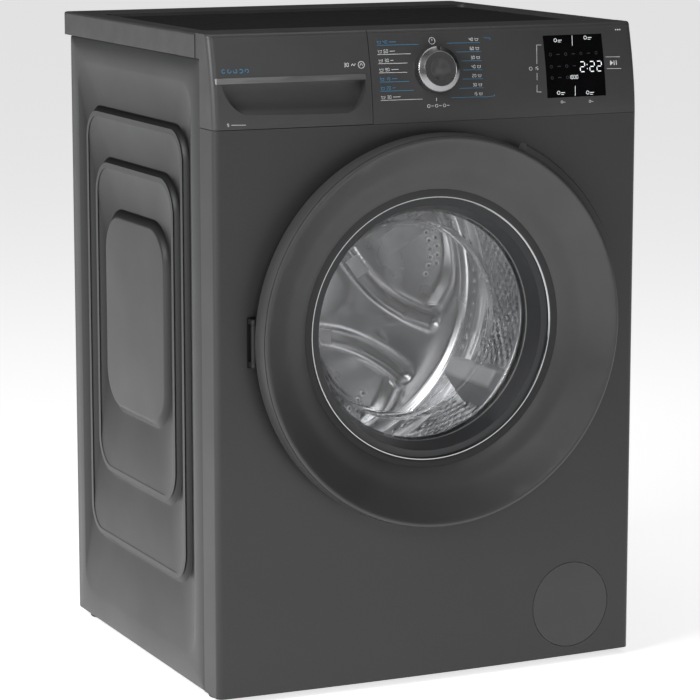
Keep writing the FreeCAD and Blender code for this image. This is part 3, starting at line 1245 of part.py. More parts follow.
def drum_shell():
    """Steel drum wall with its turned-in front."""
    outer = DRUM_RADIUS + DRUM_WALL
    wall = DRUM_WALL
    return turned([
        (outer, DRUM_BACK + 2), (outer, DRUM_FRONT + 9), (outer - 4, DRUM_FRONT + 2),
        (outer - 10, DRUM_FRONT), (DRUM_MOUTH_RADIUS + 3, DRUM_FRONT),
        (DRUM_MOUTH_RADIUS, DRUM_FRONT + 3), (DRUM_MOUTH_RADIUS, DRUM_FRONT + 6),
        (DRUM_MOUTH_RADIUS + wall, DRUM_FRONT + 6), (DRUM_MOUTH_RADIUS + 4, DRUM_FRONT + wall),
        (outer - 10, DRUM_FRONT + wall), (outer - 4 - wall, DRUM_FRONT + 3), (DRUM_RADIUS, DRUM_FRONT + 10),
        (DRUM_RADIUS, DRUM_BACK + 2),
    ])


def drum_back():
    """Pressed disc that closes the drum, raised in the middle."""
    wall = DRUM_WALL
    edge = DRUM_RADIUS - 0.1
    return turned([
        (0, DRUM_BACK - 10), (52, DRUM_BACK - 10), (66, DRUM_BACK), (edge, DRUM_BACK),
        (edge, DRUM_BACK + wall), (65, DRUM_BACK + wall), (51, DRUM_BACK - 10 + wall),
        (0, DRUM_BACK - 10 + wall),
    ])


def drum_lifters():
    """Three paddles along the drum wall that lift the load."""
    base = lifter_section(DRUM_RADIUS - 4.0, LIFTER_FRONT, LIFTER_HALF_BASE)
    tip = lifter_section(DRUM_RADIUS - LIFTER_HEIGHT, LIFTER_FRONT + LIFTER_SLOPE, LIFTER_HALF_TIP)
    paddle = Part.makeLoft([base, tip], True, True)
    turns = [LIFTER_ANGLE + 360.0 / LIFTER_COUNT * index for index in range(LIFTER_COUNT)]
    return Part.makeCompound([turned_to(paddle, turn) for turn in turns])


def lifter_section(radius, front, half):
    rear = LIFTER_FRONT + LIFTER_REAR - front
    corners = [Vector(radius, front, AXIS_HEIGHT - half), Vector(radius, rear, AXIS_HEIGHT - half),
               Vector(radius, rear, AXIS_HEIGHT + half), Vector(radius, front, AXIS_HEIGHT + half)]
    return Part.makePolygon(corners + corners[:1])


def drum_spider():
    """Cast three-armed cross behind the drum, with the steel shaft cast into it."""
    back = DRUM_BACK + DRUM_WALL + 0.2
    spider = rod(44, (0, back, AXIS_HEIGHT), (0, 128, AXIS_HEIGHT))
    for index in range(3):
        arm = box(30, 216, back, back + 16, AXIS_HEIGHT - 15, AXIS_HEIGHT + 15)
        pad = box(196, 220, back, back + 24, AXIS_HEIGHT - 30, AXIS_HEIGHT + 30)
        spider = spider.fuse([turned_to(arm, 120 * index + 30), turned_to(pad, 120 * index + 30)])
    shaft = rod(SHAFT_RADIUS, (0, 120, AXIS_HEIGHT), (0, PULLEY_REAR, AXIS_HEIGHT))
    bolt = rod(9, (0, PULLEY_REAR, AXIS_HEIGHT), (0, PULLEY_REAR + 7, AXIS_HEIGHT))
    return spider.fuse([shaft, bolt])


def drain_hose():
    """Hose from the pump up to the back, with the spigot that is moulded on its end."""
    z = FLAP_HEIGHT + DRAIN_RISE
    end = DRAIN_SPIGOT_HEIGHT
    hose = pipe([(FLAP_X + 44.2, DRAIN_Y, z), (DRAIN_PIPE_X, DRAIN_Y, z), (DRAIN_PIPE_X, 238, z),
                 (DRAIN_PIPE_X, 238, end), (DRAIN_PIPE_X, SIDE_REAR + 1.2, end)],
                18, DRAIN_PIPE_RADIUS, DRAIN_PIPE_BORE)
    y = SIDE_REAR + 1.2
    flange = tube(16, DRAIN_PIPE_BORE, (DRAIN_PIPE_X, y, end), (DRAIN_PIPE_X, y + 2.5, end))
    nose = tube(SPIGOT_RADIUS, DRAIN_PIPE_BORE,
                (DRAIN_PIPE_X, y + 2.5, end), (DRAIN_PIPE_X, y + 2.5 + SPIGOT_LENGTH, end))
    return hose.fuse([flange, nose])


# ---- the whole machine ----

def all_parts():
    """Every node's name with its shape."""
    parts = {
        "base_tray": base_tray(),
        "side_panel_left": side_panel_left(),
        "side_panel_right": side_panel_right(),
        "front_panel": front_panel(),
        "rear_panel": rear_panel(),
        "rear_service_cover": rear_service_cover(),
        "rear_cover_screws": rear_cover_screws(),
        "transit_caps": transit_caps(),
        "top_frame": top_frame(),
        "worktop_board": worktop_board(),
        "control_fascia": control_fascia(),
        "display_window": display_window(),
        "control_board": control_board(),
        "spring_brace": spring_brace(),
        "inlet_valve": inlet_valve(),
        "cable_gland": cable_gland(),
        "hinge_bracket": hinge_bracket(),
        "door_lock": door_lock(),
        "drawer_housing": drawer_housing(),
        "drain_pump": drain_pump(),
        "drain_hose": drain_hose(),
        "damper_cylinders": damper_cylinders(),
        "door_rim": door_rim(),
        "door_dish": door_dish(),
        "door_bezel": door_bezel(),
        "door_trim_ring": door_trim_ring(),
        "door_glass": door_glass(),
        "door_rear_frame": door_rear_frame(),
        "door_hinge_arm": door_hinge_arm(),
        "door_screws": door_screws(),
        "latch_hook": latch_hook(),
        "drawer_front": drawer_front(),
        "drawer_strip": drawer_strip(),
        "drawer_tray": drawer_tray(),
        "programme_knob": programme_knob(),
        "tub_front_shell": tub_front_shell(),
        "tub_rear_shell": tub_rear_shell(),
        "front_weights": front_weights(),
        "drum_bearings": drum_bearings(),
        "heating_element": heating_element(),
        "motor_body": motor_body(),
        "drive_belt": drive_belt(),
        "door_gasket": door_gasket(),
        "suspension_springs": suspension_springs(),
        "damper_rods": damper_rods(),
        "sump_hose": sump_hose(),
        "dispenser_hose": dispenser_hose(),
        "motor_pulley": motor_pulley(),
        "drum_shell": drum_shell(),
        "drum_back": drum_back(),
        "drum_lifters": drum_lifters(),
        "drum_spider": drum_spider(),
        "drum_pulley": drum_pulley(),
        "service_flap": service_flap(),
        "filter_cap": filter_cap(),
        "pump_impeller": pump_impeller(),
    }
    for name, (x, y) in zip(FOOT_NAMES, foot_places()):
        parts[name] = foot(x, y)
    return parts


def main():
    os.makedirs("parts", exist_ok=True)
    for name, shape in all_parts().items():
        shape.exportStep("parts/" + name + ".step")


main()
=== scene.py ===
import json
import math

import bmesh
import bpy
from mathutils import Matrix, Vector


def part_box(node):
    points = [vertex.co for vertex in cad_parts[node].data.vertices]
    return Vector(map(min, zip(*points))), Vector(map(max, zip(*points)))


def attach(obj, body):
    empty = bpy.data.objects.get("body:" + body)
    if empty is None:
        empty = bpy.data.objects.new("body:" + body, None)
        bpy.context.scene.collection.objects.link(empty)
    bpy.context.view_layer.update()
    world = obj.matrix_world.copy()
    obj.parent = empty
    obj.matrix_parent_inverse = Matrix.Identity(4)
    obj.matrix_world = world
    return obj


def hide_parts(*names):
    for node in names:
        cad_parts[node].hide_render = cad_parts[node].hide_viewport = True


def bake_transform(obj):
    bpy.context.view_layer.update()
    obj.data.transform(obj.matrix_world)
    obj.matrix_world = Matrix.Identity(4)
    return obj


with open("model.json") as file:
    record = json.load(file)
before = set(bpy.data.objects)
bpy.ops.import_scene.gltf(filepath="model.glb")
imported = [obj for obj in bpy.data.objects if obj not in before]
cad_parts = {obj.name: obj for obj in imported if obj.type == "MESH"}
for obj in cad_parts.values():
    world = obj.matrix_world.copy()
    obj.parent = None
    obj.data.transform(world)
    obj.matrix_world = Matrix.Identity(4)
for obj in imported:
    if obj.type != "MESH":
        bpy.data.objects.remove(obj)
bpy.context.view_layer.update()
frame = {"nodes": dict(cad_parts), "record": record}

MM = 0.001
TAU = 2.0 * math.pi

# Places, in metres, from the frame
AXIS = next(joint["pos_m"][2] for joint in frame["record"]["behaviour"]["joints"]
            if joint["name"] == "drum_spin")
JOINTS = {joint["name"]: joint for joint in frame["record"]["behaviour"]["joints"]}

# Sizes that the looks and the finer meshes share
HALF_WIDTH = 298 * MM
GROOVE_DEPTH = 7 * MM         # of each scoop in the sides
GLASS_CLEAR_RADIUS = 149 * MM
GLASS_BAND_RADIUS = 150 * MM  # where the painted dark band is fully dark


# ---- materials ----

MIX_FIRST, MIX_SECOND, MIX_RESULT = 6, 7, 2     # colour sockets of a Mix node


class Recipe:
    """A node material being made: a Principled shader with its texture nodes."""

    def __init__(self, name):
        self.material = bpy.data.materials.new(name)
        self.material.use_nodes = True
        self.nodes = self.material.node_tree.nodes
        self.links = self.material.node_tree.links
        self.shader = self.nodes["Principled BSDF"]
        self.place = self.nodes.new("ShaderNodeTexCoord").outputs["Object"]
        self.normal = None

    def value(self, socket, number):
        self.shader.inputs[socket].default_value = number

    def node(self, kind, socket, source, values=None):
        """New node fed by a source, with fixed values in some of its other inputs."""
        node = self.nodes.new("ShaderNode" + kind)
        for name, value in (values or {}).items():
            node.inputs[name].default_value = value
        self.links.new(source, node.inputs[socket])
        return node

    def noise(self, scale, detail=3.0, stretch=None):
        """Noise in object coordinates, with their own scale along each axis if one is given."""
        place = self.place
        if stretch:
            place = self.node("Mapping", "Vector", place, {"Scale": stretch}).outputs["Vector"]
        values = {"Scale": scale, "Detail": detail, "Roughness": 0.55}
        return self.node("TexNoise", "Vector", place, values).outputs["Fac"]

    def cells(self, scale):
        return self.node("TexVoronoi", "Vector", self.place, {"Scale": scale}).outputs["Distance"]

    def edges(self):
        """About 0.5 on a flat face, more on ridges and less in hollows."""
        return self.nodes.new("ShaderNodeNewGeometry").outputs["Pointiness"]

    def ramp(self, source, stops):
        node = self.node("ValToRGB", "Fac", source)
        elements = node.color_ramp.elements
        while len(elements) < len(stops):
            elements.new(0.5)
        for element, (position, colour) in zip(elements, stops):
            element.position = position
            element.color = (*colour, 1.0)
        return node.outputs["Color"]

    def spread(self, source, lowest, highest, start=0.3, end=0.7):
        """Rescale the source's start to end to a range of values."""
        values = {"From Min": start, "From Max": end, "To Min": lowest, "To Max": highest}
        return self.node("MapRange", "Value", source, values).outputs["Result"]

    def vector(self, operation, source, amount=None):
        """Vector arithmetic on a source, with a fixed amount where it takes one."""
        node = self.node("VectorMath", 0, source, {1: amount} if amount else None)
        node.operation = operation
        return node.outputs["Value" if operation == "LENGTH" else "Vector"]

    def drive(self, source, socket):
        self.links.new(source, self.shader.inputs[socket])

    def sheen(self, scale, detail, lowest, highest):
        """Roughness that varies over the surface."""
        self.drive(self.spread(self.noise(scale, detail), lowest, highest), "Roughness")

    def relief(self, source, depth):
        """Add fine relief of a real depth in metres."""
        node = self.node("Bump", "Height", source, {"Strength": 1.0, "Distance": depth})
        if self.normal is not None:
            self.links.new(self.normal, node.inputs["Normal"])
        self.normal = node.outputs["Normal"]
        self.drive(self.normal, "Normal")


def shade(colour, factor):
    return tuple(min(1.0, channel * factor) for channel in colour)


def mottled(recipe, colour, change, scale, detail=3.0, stretch=None):
    """Base colour that varies a little over the surface."""
    source = recipe.noise(scale, detail, stretch)
    stops = [(0.3, shade(colour, 1.0 - change)), (0.7, shade(colour, 1.0 + change))]
    recipe.drive(recipe.ramp(source, stops), "Base Color")


def sprayed(recipe, metallic, roughness, coat, coat_roughness):
    """Soft orange peel under a thin clear coat."""
    recipe.value("Metallic", metallic)
    recipe.value("Coat Weight", coat)
    recipe.value("Coat Roughness", coat_roughness)
    recipe.sheen(9.0, 4.0, roughness - 0.03, roughness + 0.03)
    recipe.relief(recipe.noise(320.0, 2.0), 0.00003)
    return recipe.material


def paint(name, colour, metallic, roughness, coat):
    """Sprayed metallic paint with fine flake."""
    recipe = Recipe(name)
    mottled(recipe, colour, 0.10, 900.0, 2.0)
    return sprayed(recipe, metallic, roughness, coat, 0.22)


def pressed_paint(name, colour):
    """The side panels' paint, with painted shade that darkens it where the sheet sinks into the pressed
    creases.
    """
    recipe = Recipe(name)
    axes = recipe.node("SeparateXYZ", "Vector", recipe.vector("ABSOLUTE", recipe.place))
    sunk = recipe.spread(axes.outputs["X"], 0.0, 1.0, HALF_WIDTH, HALF_WIDTH - GROOVE_DEPTH)
    # Painted shade: the colour darkens to 8 % of itself at the bottom of each crease
    stops = [(0.0, colour), (0.3, shade(colour, 0.72)),
             (0.7, shade(colour, 0.34)), (0.97, shade(colour, 0.08))]
    painted_crease_shade = recipe.ramp(sunk, stops)
    flake = recipe.ramp(recipe.noise(900.0, 2.0), [(0.3, (0.86, 0.86, 0.86)), (0.7, (1.0, 1.0, 1.0))])
    both = recipe.node("Mix", MIX_FIRST, painted_crease_shade, {"Factor": 1.0})
    both.data_type = "RGBA"
    both.blend_type = "MULTIPLY"
    recipe.links.new(flake, both.inputs[MIX_SECOND])
    recipe.drive(both.outputs[MIX_RESULT], "Base Color")
    return sprayed(recipe, 0.45, 0.39, 0.12, 0.3)


def door_glass_look(name):
    """Clear glass whose outer band is painted opaque dark grey: painted shade in place of the shaded gasket
    seen through the bowl's rim.
    """
    recipe = Recipe(name)
    from_axis = recipe.vector("SUBTRACT", recipe.place, (0.0, 0.0, AXIS))
    radius = recipe.vector("LENGTH", recipe.vector("MULTIPLY", from_axis, (1.0, 0.0, 1.0)))
    share = recipe.spread(radius, 0.0, 1.0, GLASS_CLEAR_RADIUS, GLASS_BAND_RADIUS)
    colours = [(0.0, (0.97, 0.98, 0.98)), (1.0, (0.035, 0.036, 0.038))]
    clearness = [(0.0, (1.0, 1.0, 1.0)), (1.0, (0.0, 0.0, 0.0))]
    roughness = [(0.0, (0.0, 0.0, 0.0)), (1.0, (0.35, 0.35, 0.35))]
    recipe.drive(recipe.ramp(share, colours), "Base Color")
    recipe.drive(recipe.ramp(share, clearness), "Transmission Weight")
    recipe.drive(recipe.ramp(share, roughness), "Roughness")
    recipe.value("IOR", 1.45)
    return recipe.material


def plastic(name, colour, roughness, grain=0.00005, grain_scale=1500.0, change=0.06):
    """Moulded plastic: a fine spark-eroded grain and slightly uneven sheen."""
    recipe = Recipe(name)
    mottled(recipe, colour, change, 14.0)
    recipe.sheen(30.0, 4.0, roughness - 0.05, roughness + 0.05)
    if grain:
        recipe.relief(recipe.noise(grain_scale, 2.0), grain)
    return recipe.material


def rubber(name, colour):
    """Dull rubber with a slight bloom."""
    recipe = Recipe(name)
    mottled(recipe, colour, 0.18, 22.0, 5.0)
    recipe.sheen(40.0, 5.0, 0.52, 0.74)
    recipe.value("Sheen Weight", 0.15)
    recipe.relief(recipe.noise(700.0, 3.0), 0.00006)
    return recipe.material


def metal(name, colour, roughness, stretch, depth=0.00002, change=0.06):
    """Metal with fine lines that run along one direction."""
    recipe = Recipe(name)
    mottled(recipe, colour, change, 1.0, 4.0, stretch)
    recipe.value("Metallic", 1.0)
    lines = recipe.noise(1.0, 3.0, stretch)
    recipe.drive(recipe.spread(lines, roughness - 0.06, roughness + 0.06), "Roughness")
    recipe.relief(lines, depth)
    return recipe.material


def pressed_metal(name, colour, roughness):
    """Polished sheet with painted highlights on its pressed ridges and painted shade in its hollows, driven
    by the surface's pointiness.
    """
    recipe = Recipe(name)
    # Painted highlight and shade: ridges up to twice as bright, hollows down to a third
    stops = [(0.44, shade(colour, 0.35)), (0.495, shade(colour, 0.85)),
             (0.505, shade(colour, 1.05)), (0.54, shade(colour, 2.0))]
    recipe.drive(recipe.ramp(recipe.edges(), stops), "Base Color")
    recipe.value("Metallic", 1.0)
    recipe.sheen(14.0, 3.0, roughness - 0.04, roughness + 0.04)
    return recipe.material


def zinc(name, colour):
    """Galvanised sheet with its faint crystal pattern."""
    recipe = Recipe(name)
    crystals = recipe.cells(150.0)
    stops = [(0.0, shade(colour, 0.95)), (0.6, shade(colour, 1.04))]
    recipe.drive(recipe.ramp(crystals, stops), "Base Color")
    recipe.value("Metallic", 1.0)
    recipe.sheen(60.0, 5.0, 0.36, 0.52)
    recipe.relief(crystals, 0.00001)
    return recipe.material


def laminate(name, colour):
    """Laminate on chipboard, with a faint pressed texture."""
    recipe = Recipe(name)
    mottled(recipe, colour, 0.25, 1.0, 6.0, (18.0, 160.0, 160.0))
    recipe.sheen(50.0, 5.0, 0.55, 0.68)
    recipe.value("Specular IOR Level", 0.2)
    recipe.relief(recipe.noise(1.0, 4.0, (220.0, 1400.0, 1400.0)), 0.00006)
    return recipe.material


def concrete(name):
    """Rough cast concrete."""
    recipe = Recipe(name)
    mottled(recipe, (0.36, 0.35, 0.33), 0.25, 45.0, 8.0)
    recipe.value("Roughness", 0.9)
    recipe.relief(recipe.noise(120.0, 8.0), 0.0006)
    recipe.relief(recipe.cells(90.0), 0.0004)
    return recipe.material


def cast(name, colour):
    """Metal with a cast skin."""
    recipe = Recipe(name)
    mottled(recipe, colour, 0.12, 60.0, 5.0)
    recipe.value("Metallic", 1.0)
    recipe.sheen(80.0, 5.0, 0.42, 0.6)
    recipe.relief(recipe.noise(900.0, 4.0), 0.00015)
    return recipe.material


def glowing(name, colour, strength):
    """Lit segments of the display."""
    recipe = Recipe(name)
    mottled(recipe, colour, 0.08, 400.0)
    recipe.value("Roughness", 0.5)
    recipe.value("Emission Color", (*colour, 1.0))
    recipe.value("Emission Strength", strength)
    return recipe.material


# Maker of each material, its name, and what the maker asks for
MATERIALS = (
    (paint, "painted_steel", (0.041, 0.041, 0.043), 0.25, 0.42, 0.10),
    (pressed_paint, "pressed_paint", (0.056, 0.057, 0.059)),
    (paint, "black_steel", (0.015, 0.015, 0.016), 0.2, 0.5, 0.0),
    (zinc, "zinc_steel", (0.50, 0.51, 0.52)),
    (plastic, "grey_plastic", (0.052, 0.052, 0.054), 0.42),
    (plastic, "black_plastic", (0.016, 0.016, 0.017), 0.48),
    (laminate, "board_laminate", (0.010, 0.010, 0.011)),
    (plastic, "display_glass", (0.0025, 0.0025, 0.003), 0.14, 0.0),
    (plastic, "circuit_board", (0.02, 0.10, 0.04), 0.35, 0.0002, 300.0, 0.3),
    (plastic, "white_plastic", (0.66, 0.67, 0.68), 0.42),
    (plastic, "drawer_plastic", (0.55, 0.56, 0.57), 0.42),
    (metal, "trim_metal", (0.50, 0.51, 0.52), 0.16, (30.0, 30.0, 30.0), 0.0),
    (metal, "strip_metal", (0.38, 0.38, 0.385), 0.34, (8.0, 900.0, 900.0)),
    (metal, "knob_metal", (0.36, 0.36, 0.37), 0.30, (60.0, 60.0, 60.0)),
    (door_glass_look, "clear_glass"),
    (metal, "fastener_steel", (0.52, 0.52, 0.53), 0.34, (200.0, 200.0, 200.0)),
    (plastic, "tub_plastic", (0.34, 0.36, 0.37), 0.5, 0.0001, 700.0),
    (concrete, "concrete"),
    (metal, "drum_steel", (0.62, 0.62, 0.63), 0.28, (12.0, 60.0, 12.0), 0.000004, 0.04),
    (pressed_metal, "polished_steel", (0.46, 0.46, 0.47), 0.24),
    # Brighter copy of the drum's steel: painted highlight on the wall band and the eyelets
    (metal, "bright_steel", (0.88, 0.88, 0.89), 0.30, (12.0, 12.0, 12.0), 0.0, 0.03),
    (cast, "cast_aluminium", (0.50, 0.50, 0.51)),
    (metal, "bearing_steel", (0.55, 0.55, 0.56), 0.25, (300.0, 300.0, 300.0)),
    (rubber, "black_rubber", (0.018, 0.018, 0.019)),
    (rubber, "grey_rubber", (0.10, 0.102, 0.105)),
    (plastic, "printed_white", (0.86, 0.87, 0.88), 0.5, 0.0),
    (plastic, "printed_blue", (0.06, 0.30, 0.52), 0.5, 0.0),
    (glowing, "lit_white", (0.75, 0.78, 0.80), 0.8),
    (plastic, "unlit_grey", (0.035, 0.036, 0.038), 0.5, 0.0),
)
LOOKS = {name: make(name, *values) for make, name, *values in MATERIALS}


def dress(piece, look):
    """Give a piece its material."""
    piece.data.materials.clear()
    piece.data.materials.append(LOOKS[look])


# The hinge's arm gets the black steel look, unlike the other pieces of its steel: painted shade, so that it
# is as dark as the gap behind the door
OWN_LOOKS = {"door_hinge_arm": "black_steel"}

for subpart in frame["record"]["subparts"]:
    node = frame["nodes"][subpart["node"]]
    look = OWN_LOOKS.get(subpart["node"], subpart["material_slot"])
    for place in node.material_slots:
        place.material = LOOKS[look]


# ---- mesh helpers ----

def placed(name, data, place=(0.0, 0.0, 0.0)):
    """New object in the scene."""
    piece = bpy.data.objects.new(name, data)
    piece.location = place
    bpy.context.collection.objects.link(piece)
    return piece


def smooth(mesh, sharp):
    """Shade a mesh smooth, except at edges sharper than an angle in degrees."""
    mesh.shade_smooth()
    mesh.set_sharp_from_angle(angle=math.radians(sharp))


def piece_from(name, points, faces, look, body, replaced=(), sharp=40.0):
    """New smooth-shaded mesh piece that rides on a body and may stand for CAD nodes."""
    mesh = bpy.data.meshes.new(name)
    mesh.from_pydata(points, [], faces)
    mesh.validate()
    work = bmesh.new()
    work.from_mesh(mesh)
    bmesh.ops.recalc_face_normals(work, faces=work.faces)
    work.to_mesh(mesh)
    work.free()
    smooth(mesh, sharp)
    piece = placed(name, mesh)
    dress(piece, look)
    if body:
        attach(piece, body)
    if replaced:
        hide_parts(*replaced)
    return piece


def solid_sheet(name, points, faces, look, body, replaced, thickness, offset, sharp):
    """New piece from an open sheet, made solid."""
    piece = piece_from(name, points, faces, look, None, sharp=sharp)
    modifier = piece.modifiers.new("solidify", "SOLIDIFY")
    modifier.thickness = thickness
    modifier.offset = offset
    graph = bpy.context.evaluated_depsgraph_get()
    mesh = bpy.data.meshes.new_from_object(piece.evaluated_get(graph))
    piece.modifiers.clear()
    piece.data = mesh
    smooth(mesh, sharp)
    dress(piece, look)
    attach(piece, body)
    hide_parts(replaced)


def merged(parts):
    """Join several (points, faces) pairs into one pair."""
    points = []
    faces = []
    for more_points, more_faces in parts:
        start = len(points)
        points += more_points
        faces += [tuple(start + index for index in face) for face in more_faces]
    return points, faces


def rings(loops, closed_ring=True, closed_sweep=False):
    """Points and faces of a surface through loops of equally many points."""
    points = [point for loop in loops for point in loop]
    count = len(loops[0])
    faces = []
    last = len(loops) if closed_sweep else len(loops) - 1
    for i in range(last):
        j = (i + 1) % len(loops)
        for k in range(count if closed_ring else count - 1):
            m = (k + 1) % count
            faces.append((i * count + k, i * count + m, j * count + m, j * count + k))
    return points, faces


def capped(loops):
    """Surface through the loops, closed by a face at the first and at the last of them."""
    points, faces = rings(loops)
    count = len(loops[0])
    faces.append(tuple(range(count)))
    faces.append(tuple(range(len(points) - count, len(points))))
    return points, faces


# Sides of a box whose corners are numbered 0 to 3 round one end and 4 to 7 round the other
BOX_SIDES = [(k, (k + 1) % 4, 4 + (k + 1) % 4, 4 + k) for k in range(4)]


def turns_in(steps):
    """Evenly spaced angles of one full turn."""
    return [TAU * k / steps for k in range(steps)]


def round_axis(radius, y, turn):
    """Point about the drum axis; the turn runs counter-clockwise from the right, seen from the front."""
    return (radius * math.cos(turn), y, AXIS + radius * math.sin(turn))


def lathe(outline):
    """Closed (radius, y) outline turned about the drum axis."""
    loops = [[round_axis(radius, y, turn) for turn in turns_in(192)] for radius, y in outline]
    return rings(loops, closed_sweep=True)


def smooth_step(value, start, end):
    """0 before the start, 1 after the end, and an even slope between them."""
    share = min(1.0, max(0.0, (value - start) / (end - start)))
    return share * share * (3.0 - 2.0 * share)


def bump(value, middle, reach):
    """Smooth hump of height 1 at the middle, 0 beyond the reach."""
    share = abs(value - middle) / reach
    return 0.5 + 0.5 * math.cos(math.pi * share) if share < 1.0 else 0.0


# ---- side panels ----

GROOVES = 3
GROOVE_RISER = 11 * MM        # width of the short slope on a scoop's inner side
SHEET = 1 * MM
SIDE_EDGE = 1.2 * MM          # rounding of the panel's folded edge
SIDE_FLANGE = 13 * MM

# Front, rear, bottom, top and corner radius of the outermost scoop, each with its change for the next one
OUTLINE = ((-171 * MM, 33 * MM), (236 * MM, -33 * MM), (44 * MM, 95 * MM), (781 * MM, -66 * MM),
           (30 * MM, 6 * MM))

# Sections of a scoop's long slope and short rise: share of the way across, share of the full depth
SLOPE = ((0.02, 0.045), (0.06, 0.10), (0.25, 0.29), (0.5, 0.54), (0.75, 0.78), (0.92, 0.94), (0.98, 0.985))
RISE = ((0.08, 0.985), (0.2, 0.90), (0.5, 0.56), (0.8, 0.2), (0.92, 0.07))


def rounded_loop(y0, y1, z0, z1, radius, corner=12, straight=10):
    """Rounded rectangle as (y, z) points, always with the same number of points."""
    centres = [(y1 - radius, z0 + radius, -90), (y1 - radius, z1 - radius, 0),
               (y0 + radius, z1 - radius, 90), (y0 + radius, z0 + radius, 180)]
    arcs = []
    for y, z, start in centres:
        angles = [math.radians(start + 90.0 * k / corner) for k in range(corner + 1)]
        arcs.append([(y + radius * math.cos(a), z + radius * math.sin(a)) for a in angles])
    loop = []
    for index, arc in enumerate(arcs):
        following = arcs[(index + 1) % 4][0]
        loop += arc
        for k in range(1, straight):
            share = k / straight
            loop.append((arc[-1][0] + share * (following[0] - arc[-1][0]),
                         arc[-1][1] + share * (following[1] - arc[-1][1])))
    return loop


def groove_loop(level, grow):
    """Outline of one scoop, made larger all round by some length."""
    front, rear, bottom, top, radius = (start + level * change for start, change in OUTLINE)
    return rounded_loop(front - grow, rear + grow, bottom - grow, top + grow, radius + grow)


def between(first, second, share):
    """Loop at a share of the way from the first loop to the second."""
    return [(a[0] + share * (b[0] - a[0]), a[1] + share * (b[1] - a[1]))
            for a, b in zip(first, second)]


def side_panel(side, node):
    """Pressed side with three nested scoops, their lips and creases rounded like drawn sheet."""
    (x0, y0, z0), (x1, y1, z1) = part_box(node)
    outside = max(abs(x0), abs(x1))
    edge = SIDE_EDGE
    stack = []
    for inset, depth in ((0.0, SIDE_FLANGE), (0.0, edge), (edge * 0.3, edge * 0.3), (edge, 0.0)):
        loop = rounded_loop(y0 + inset, y1 - inset, z0 + inset, z1 - inset, 2.5 * MM)
        stack.append((loop, depth))
    for level in range(GROOVES):
        lip = groove_loop(level, 0.0)
        crease = groove_loop(level + 1, GROOVE_RISER)
        inner = groove_loop(level + 1, 0.0)
        stack.append((groove_loop(level, 2.5 * MM), 0.0))
        stack.append((groove_loop(level, 1.0 * MM), 0.12 * MM))
        stack += [(between(lip, crease, share), drop * GROOVE_DEPTH) for share, drop in SLOPE]
        stack.append((crease, GROOVE_DEPTH))
        stack += [(between(crease, inner, share), drop * GROOVE_DEPTH) for share, drop in RISE]
        stack.append((groove_loop(level + 1, -1.0 * MM), 0.1 * MM))
        stack.append((groove_loop(level + 1, -2.5 * MM), 0.0))
    loops = [[(side * (outside - depth), y, z) for y, z in loop] for loop, depth in stack]
    points, faces = rings(loops)
    count = len(loops[0])
    faces.append(tuple(range(len(points) - count, len(points))))
    solid_sheet("pressed_" + node, points, faces, "pressed_paint", "cabinet", node, SHEET, -1.0, 60.0)


# ---- drum ----

DRUM_RADIUS = 225 * MM
DRUM_WALL = 1.2 * MM
DRUM_BACK = 94 * MM
HOLE_PITCH = 8 * MM
HOLE_RADIUS = 1.9 * MM
BAND_FRONT = 33 * MM          # smooth band of the wall, near the back
BAND_REAR = 53 * MM
WAVES_ROUND = 24              # pressed waves of the wall
WAVE_LENGTH = 46 * MM
WAVE_HEIGHT = 0.9 * MM
SEAM_HEIGHT = 1.6 * MM
WALL_START = -160 * MM        # where the wall leaves its rounded front ring
HOLE_RIM = 1.2 * MM           # how far a hole's edge stands in from the wall

# Rounded front ring of the drum, as (radius, y) in millimetres
FRONT_RING = [(166.6, -173.5), (166.3, -176.0), (167.4, -178.2), (170, -179), (180, -179), (196, -179),
              (212, -179), (219, -177.6), (223.4, -173.6), (225, -168.5), (225, -163)]

LIFTERS = 3
LIFTER_TURN = math.radians(-34.0)
LIFTER_HEIGHT = 55 * MM
LIFTER_BASE = 31 * MM         # half widths at the wall and at the tip
LIFTER_TIP = 13 * MM
LIFTER_LEAN = 12 * MM         # how much the ends lean in


def nearest_lifter(turn):
    """Angle from a direction to the nearest lifter's middle."""
    step = TAU / LIFTERS
    return (turn - LIFTER_TURN + 0.5 * step) % step - 0.5 * step


def wall_radius(turn, y):
    """The drum's wall, with its pressed waves and the raised seams of its smooth band."""
    sway = 0.8 * math.sin(y / (14 * MM))
    wave = math.sin(WAVES_ROUND * turn + sway) * math.sin(math.pi * y / WAVE_LENGTH)
    wave *= smooth_step(y, WALL_START, WALL_START + 20 * MM) * smooth_step(BAND_FRONT - y, 0.0, 14 * MM)
    seams = bump(y, BAND_FRONT, 3 * MM) + bump(y, BAND_REAR, 3 * MM)
    band = smooth_step(y, BAND_FRONT, BAND_FRONT + 3 * MM) * smooth_step(BAND_REAR - y, 0, 3 * MM)
    return DRUM_RADIUS - WAVE_HEIGHT * wave - SEAM_HEIGHT * seams - 0.5 * SEAM_HEIGHT * band


def is_hole(turn, y, column, row):
    """Whether a cell of the wall has a hole: every second cell, away from band, ends and lifters."""
    if (column + row) % 2:
        return False
    clear_of_band = y < BAND_FRONT - 7 * MM or BAND_REAR + 6 * MM < y < DRUM_BACK - 22 * MM
    return clear_of_band and y > -150 * MM and abs(nearest_lifter(turn)) > math.radians(9.5)


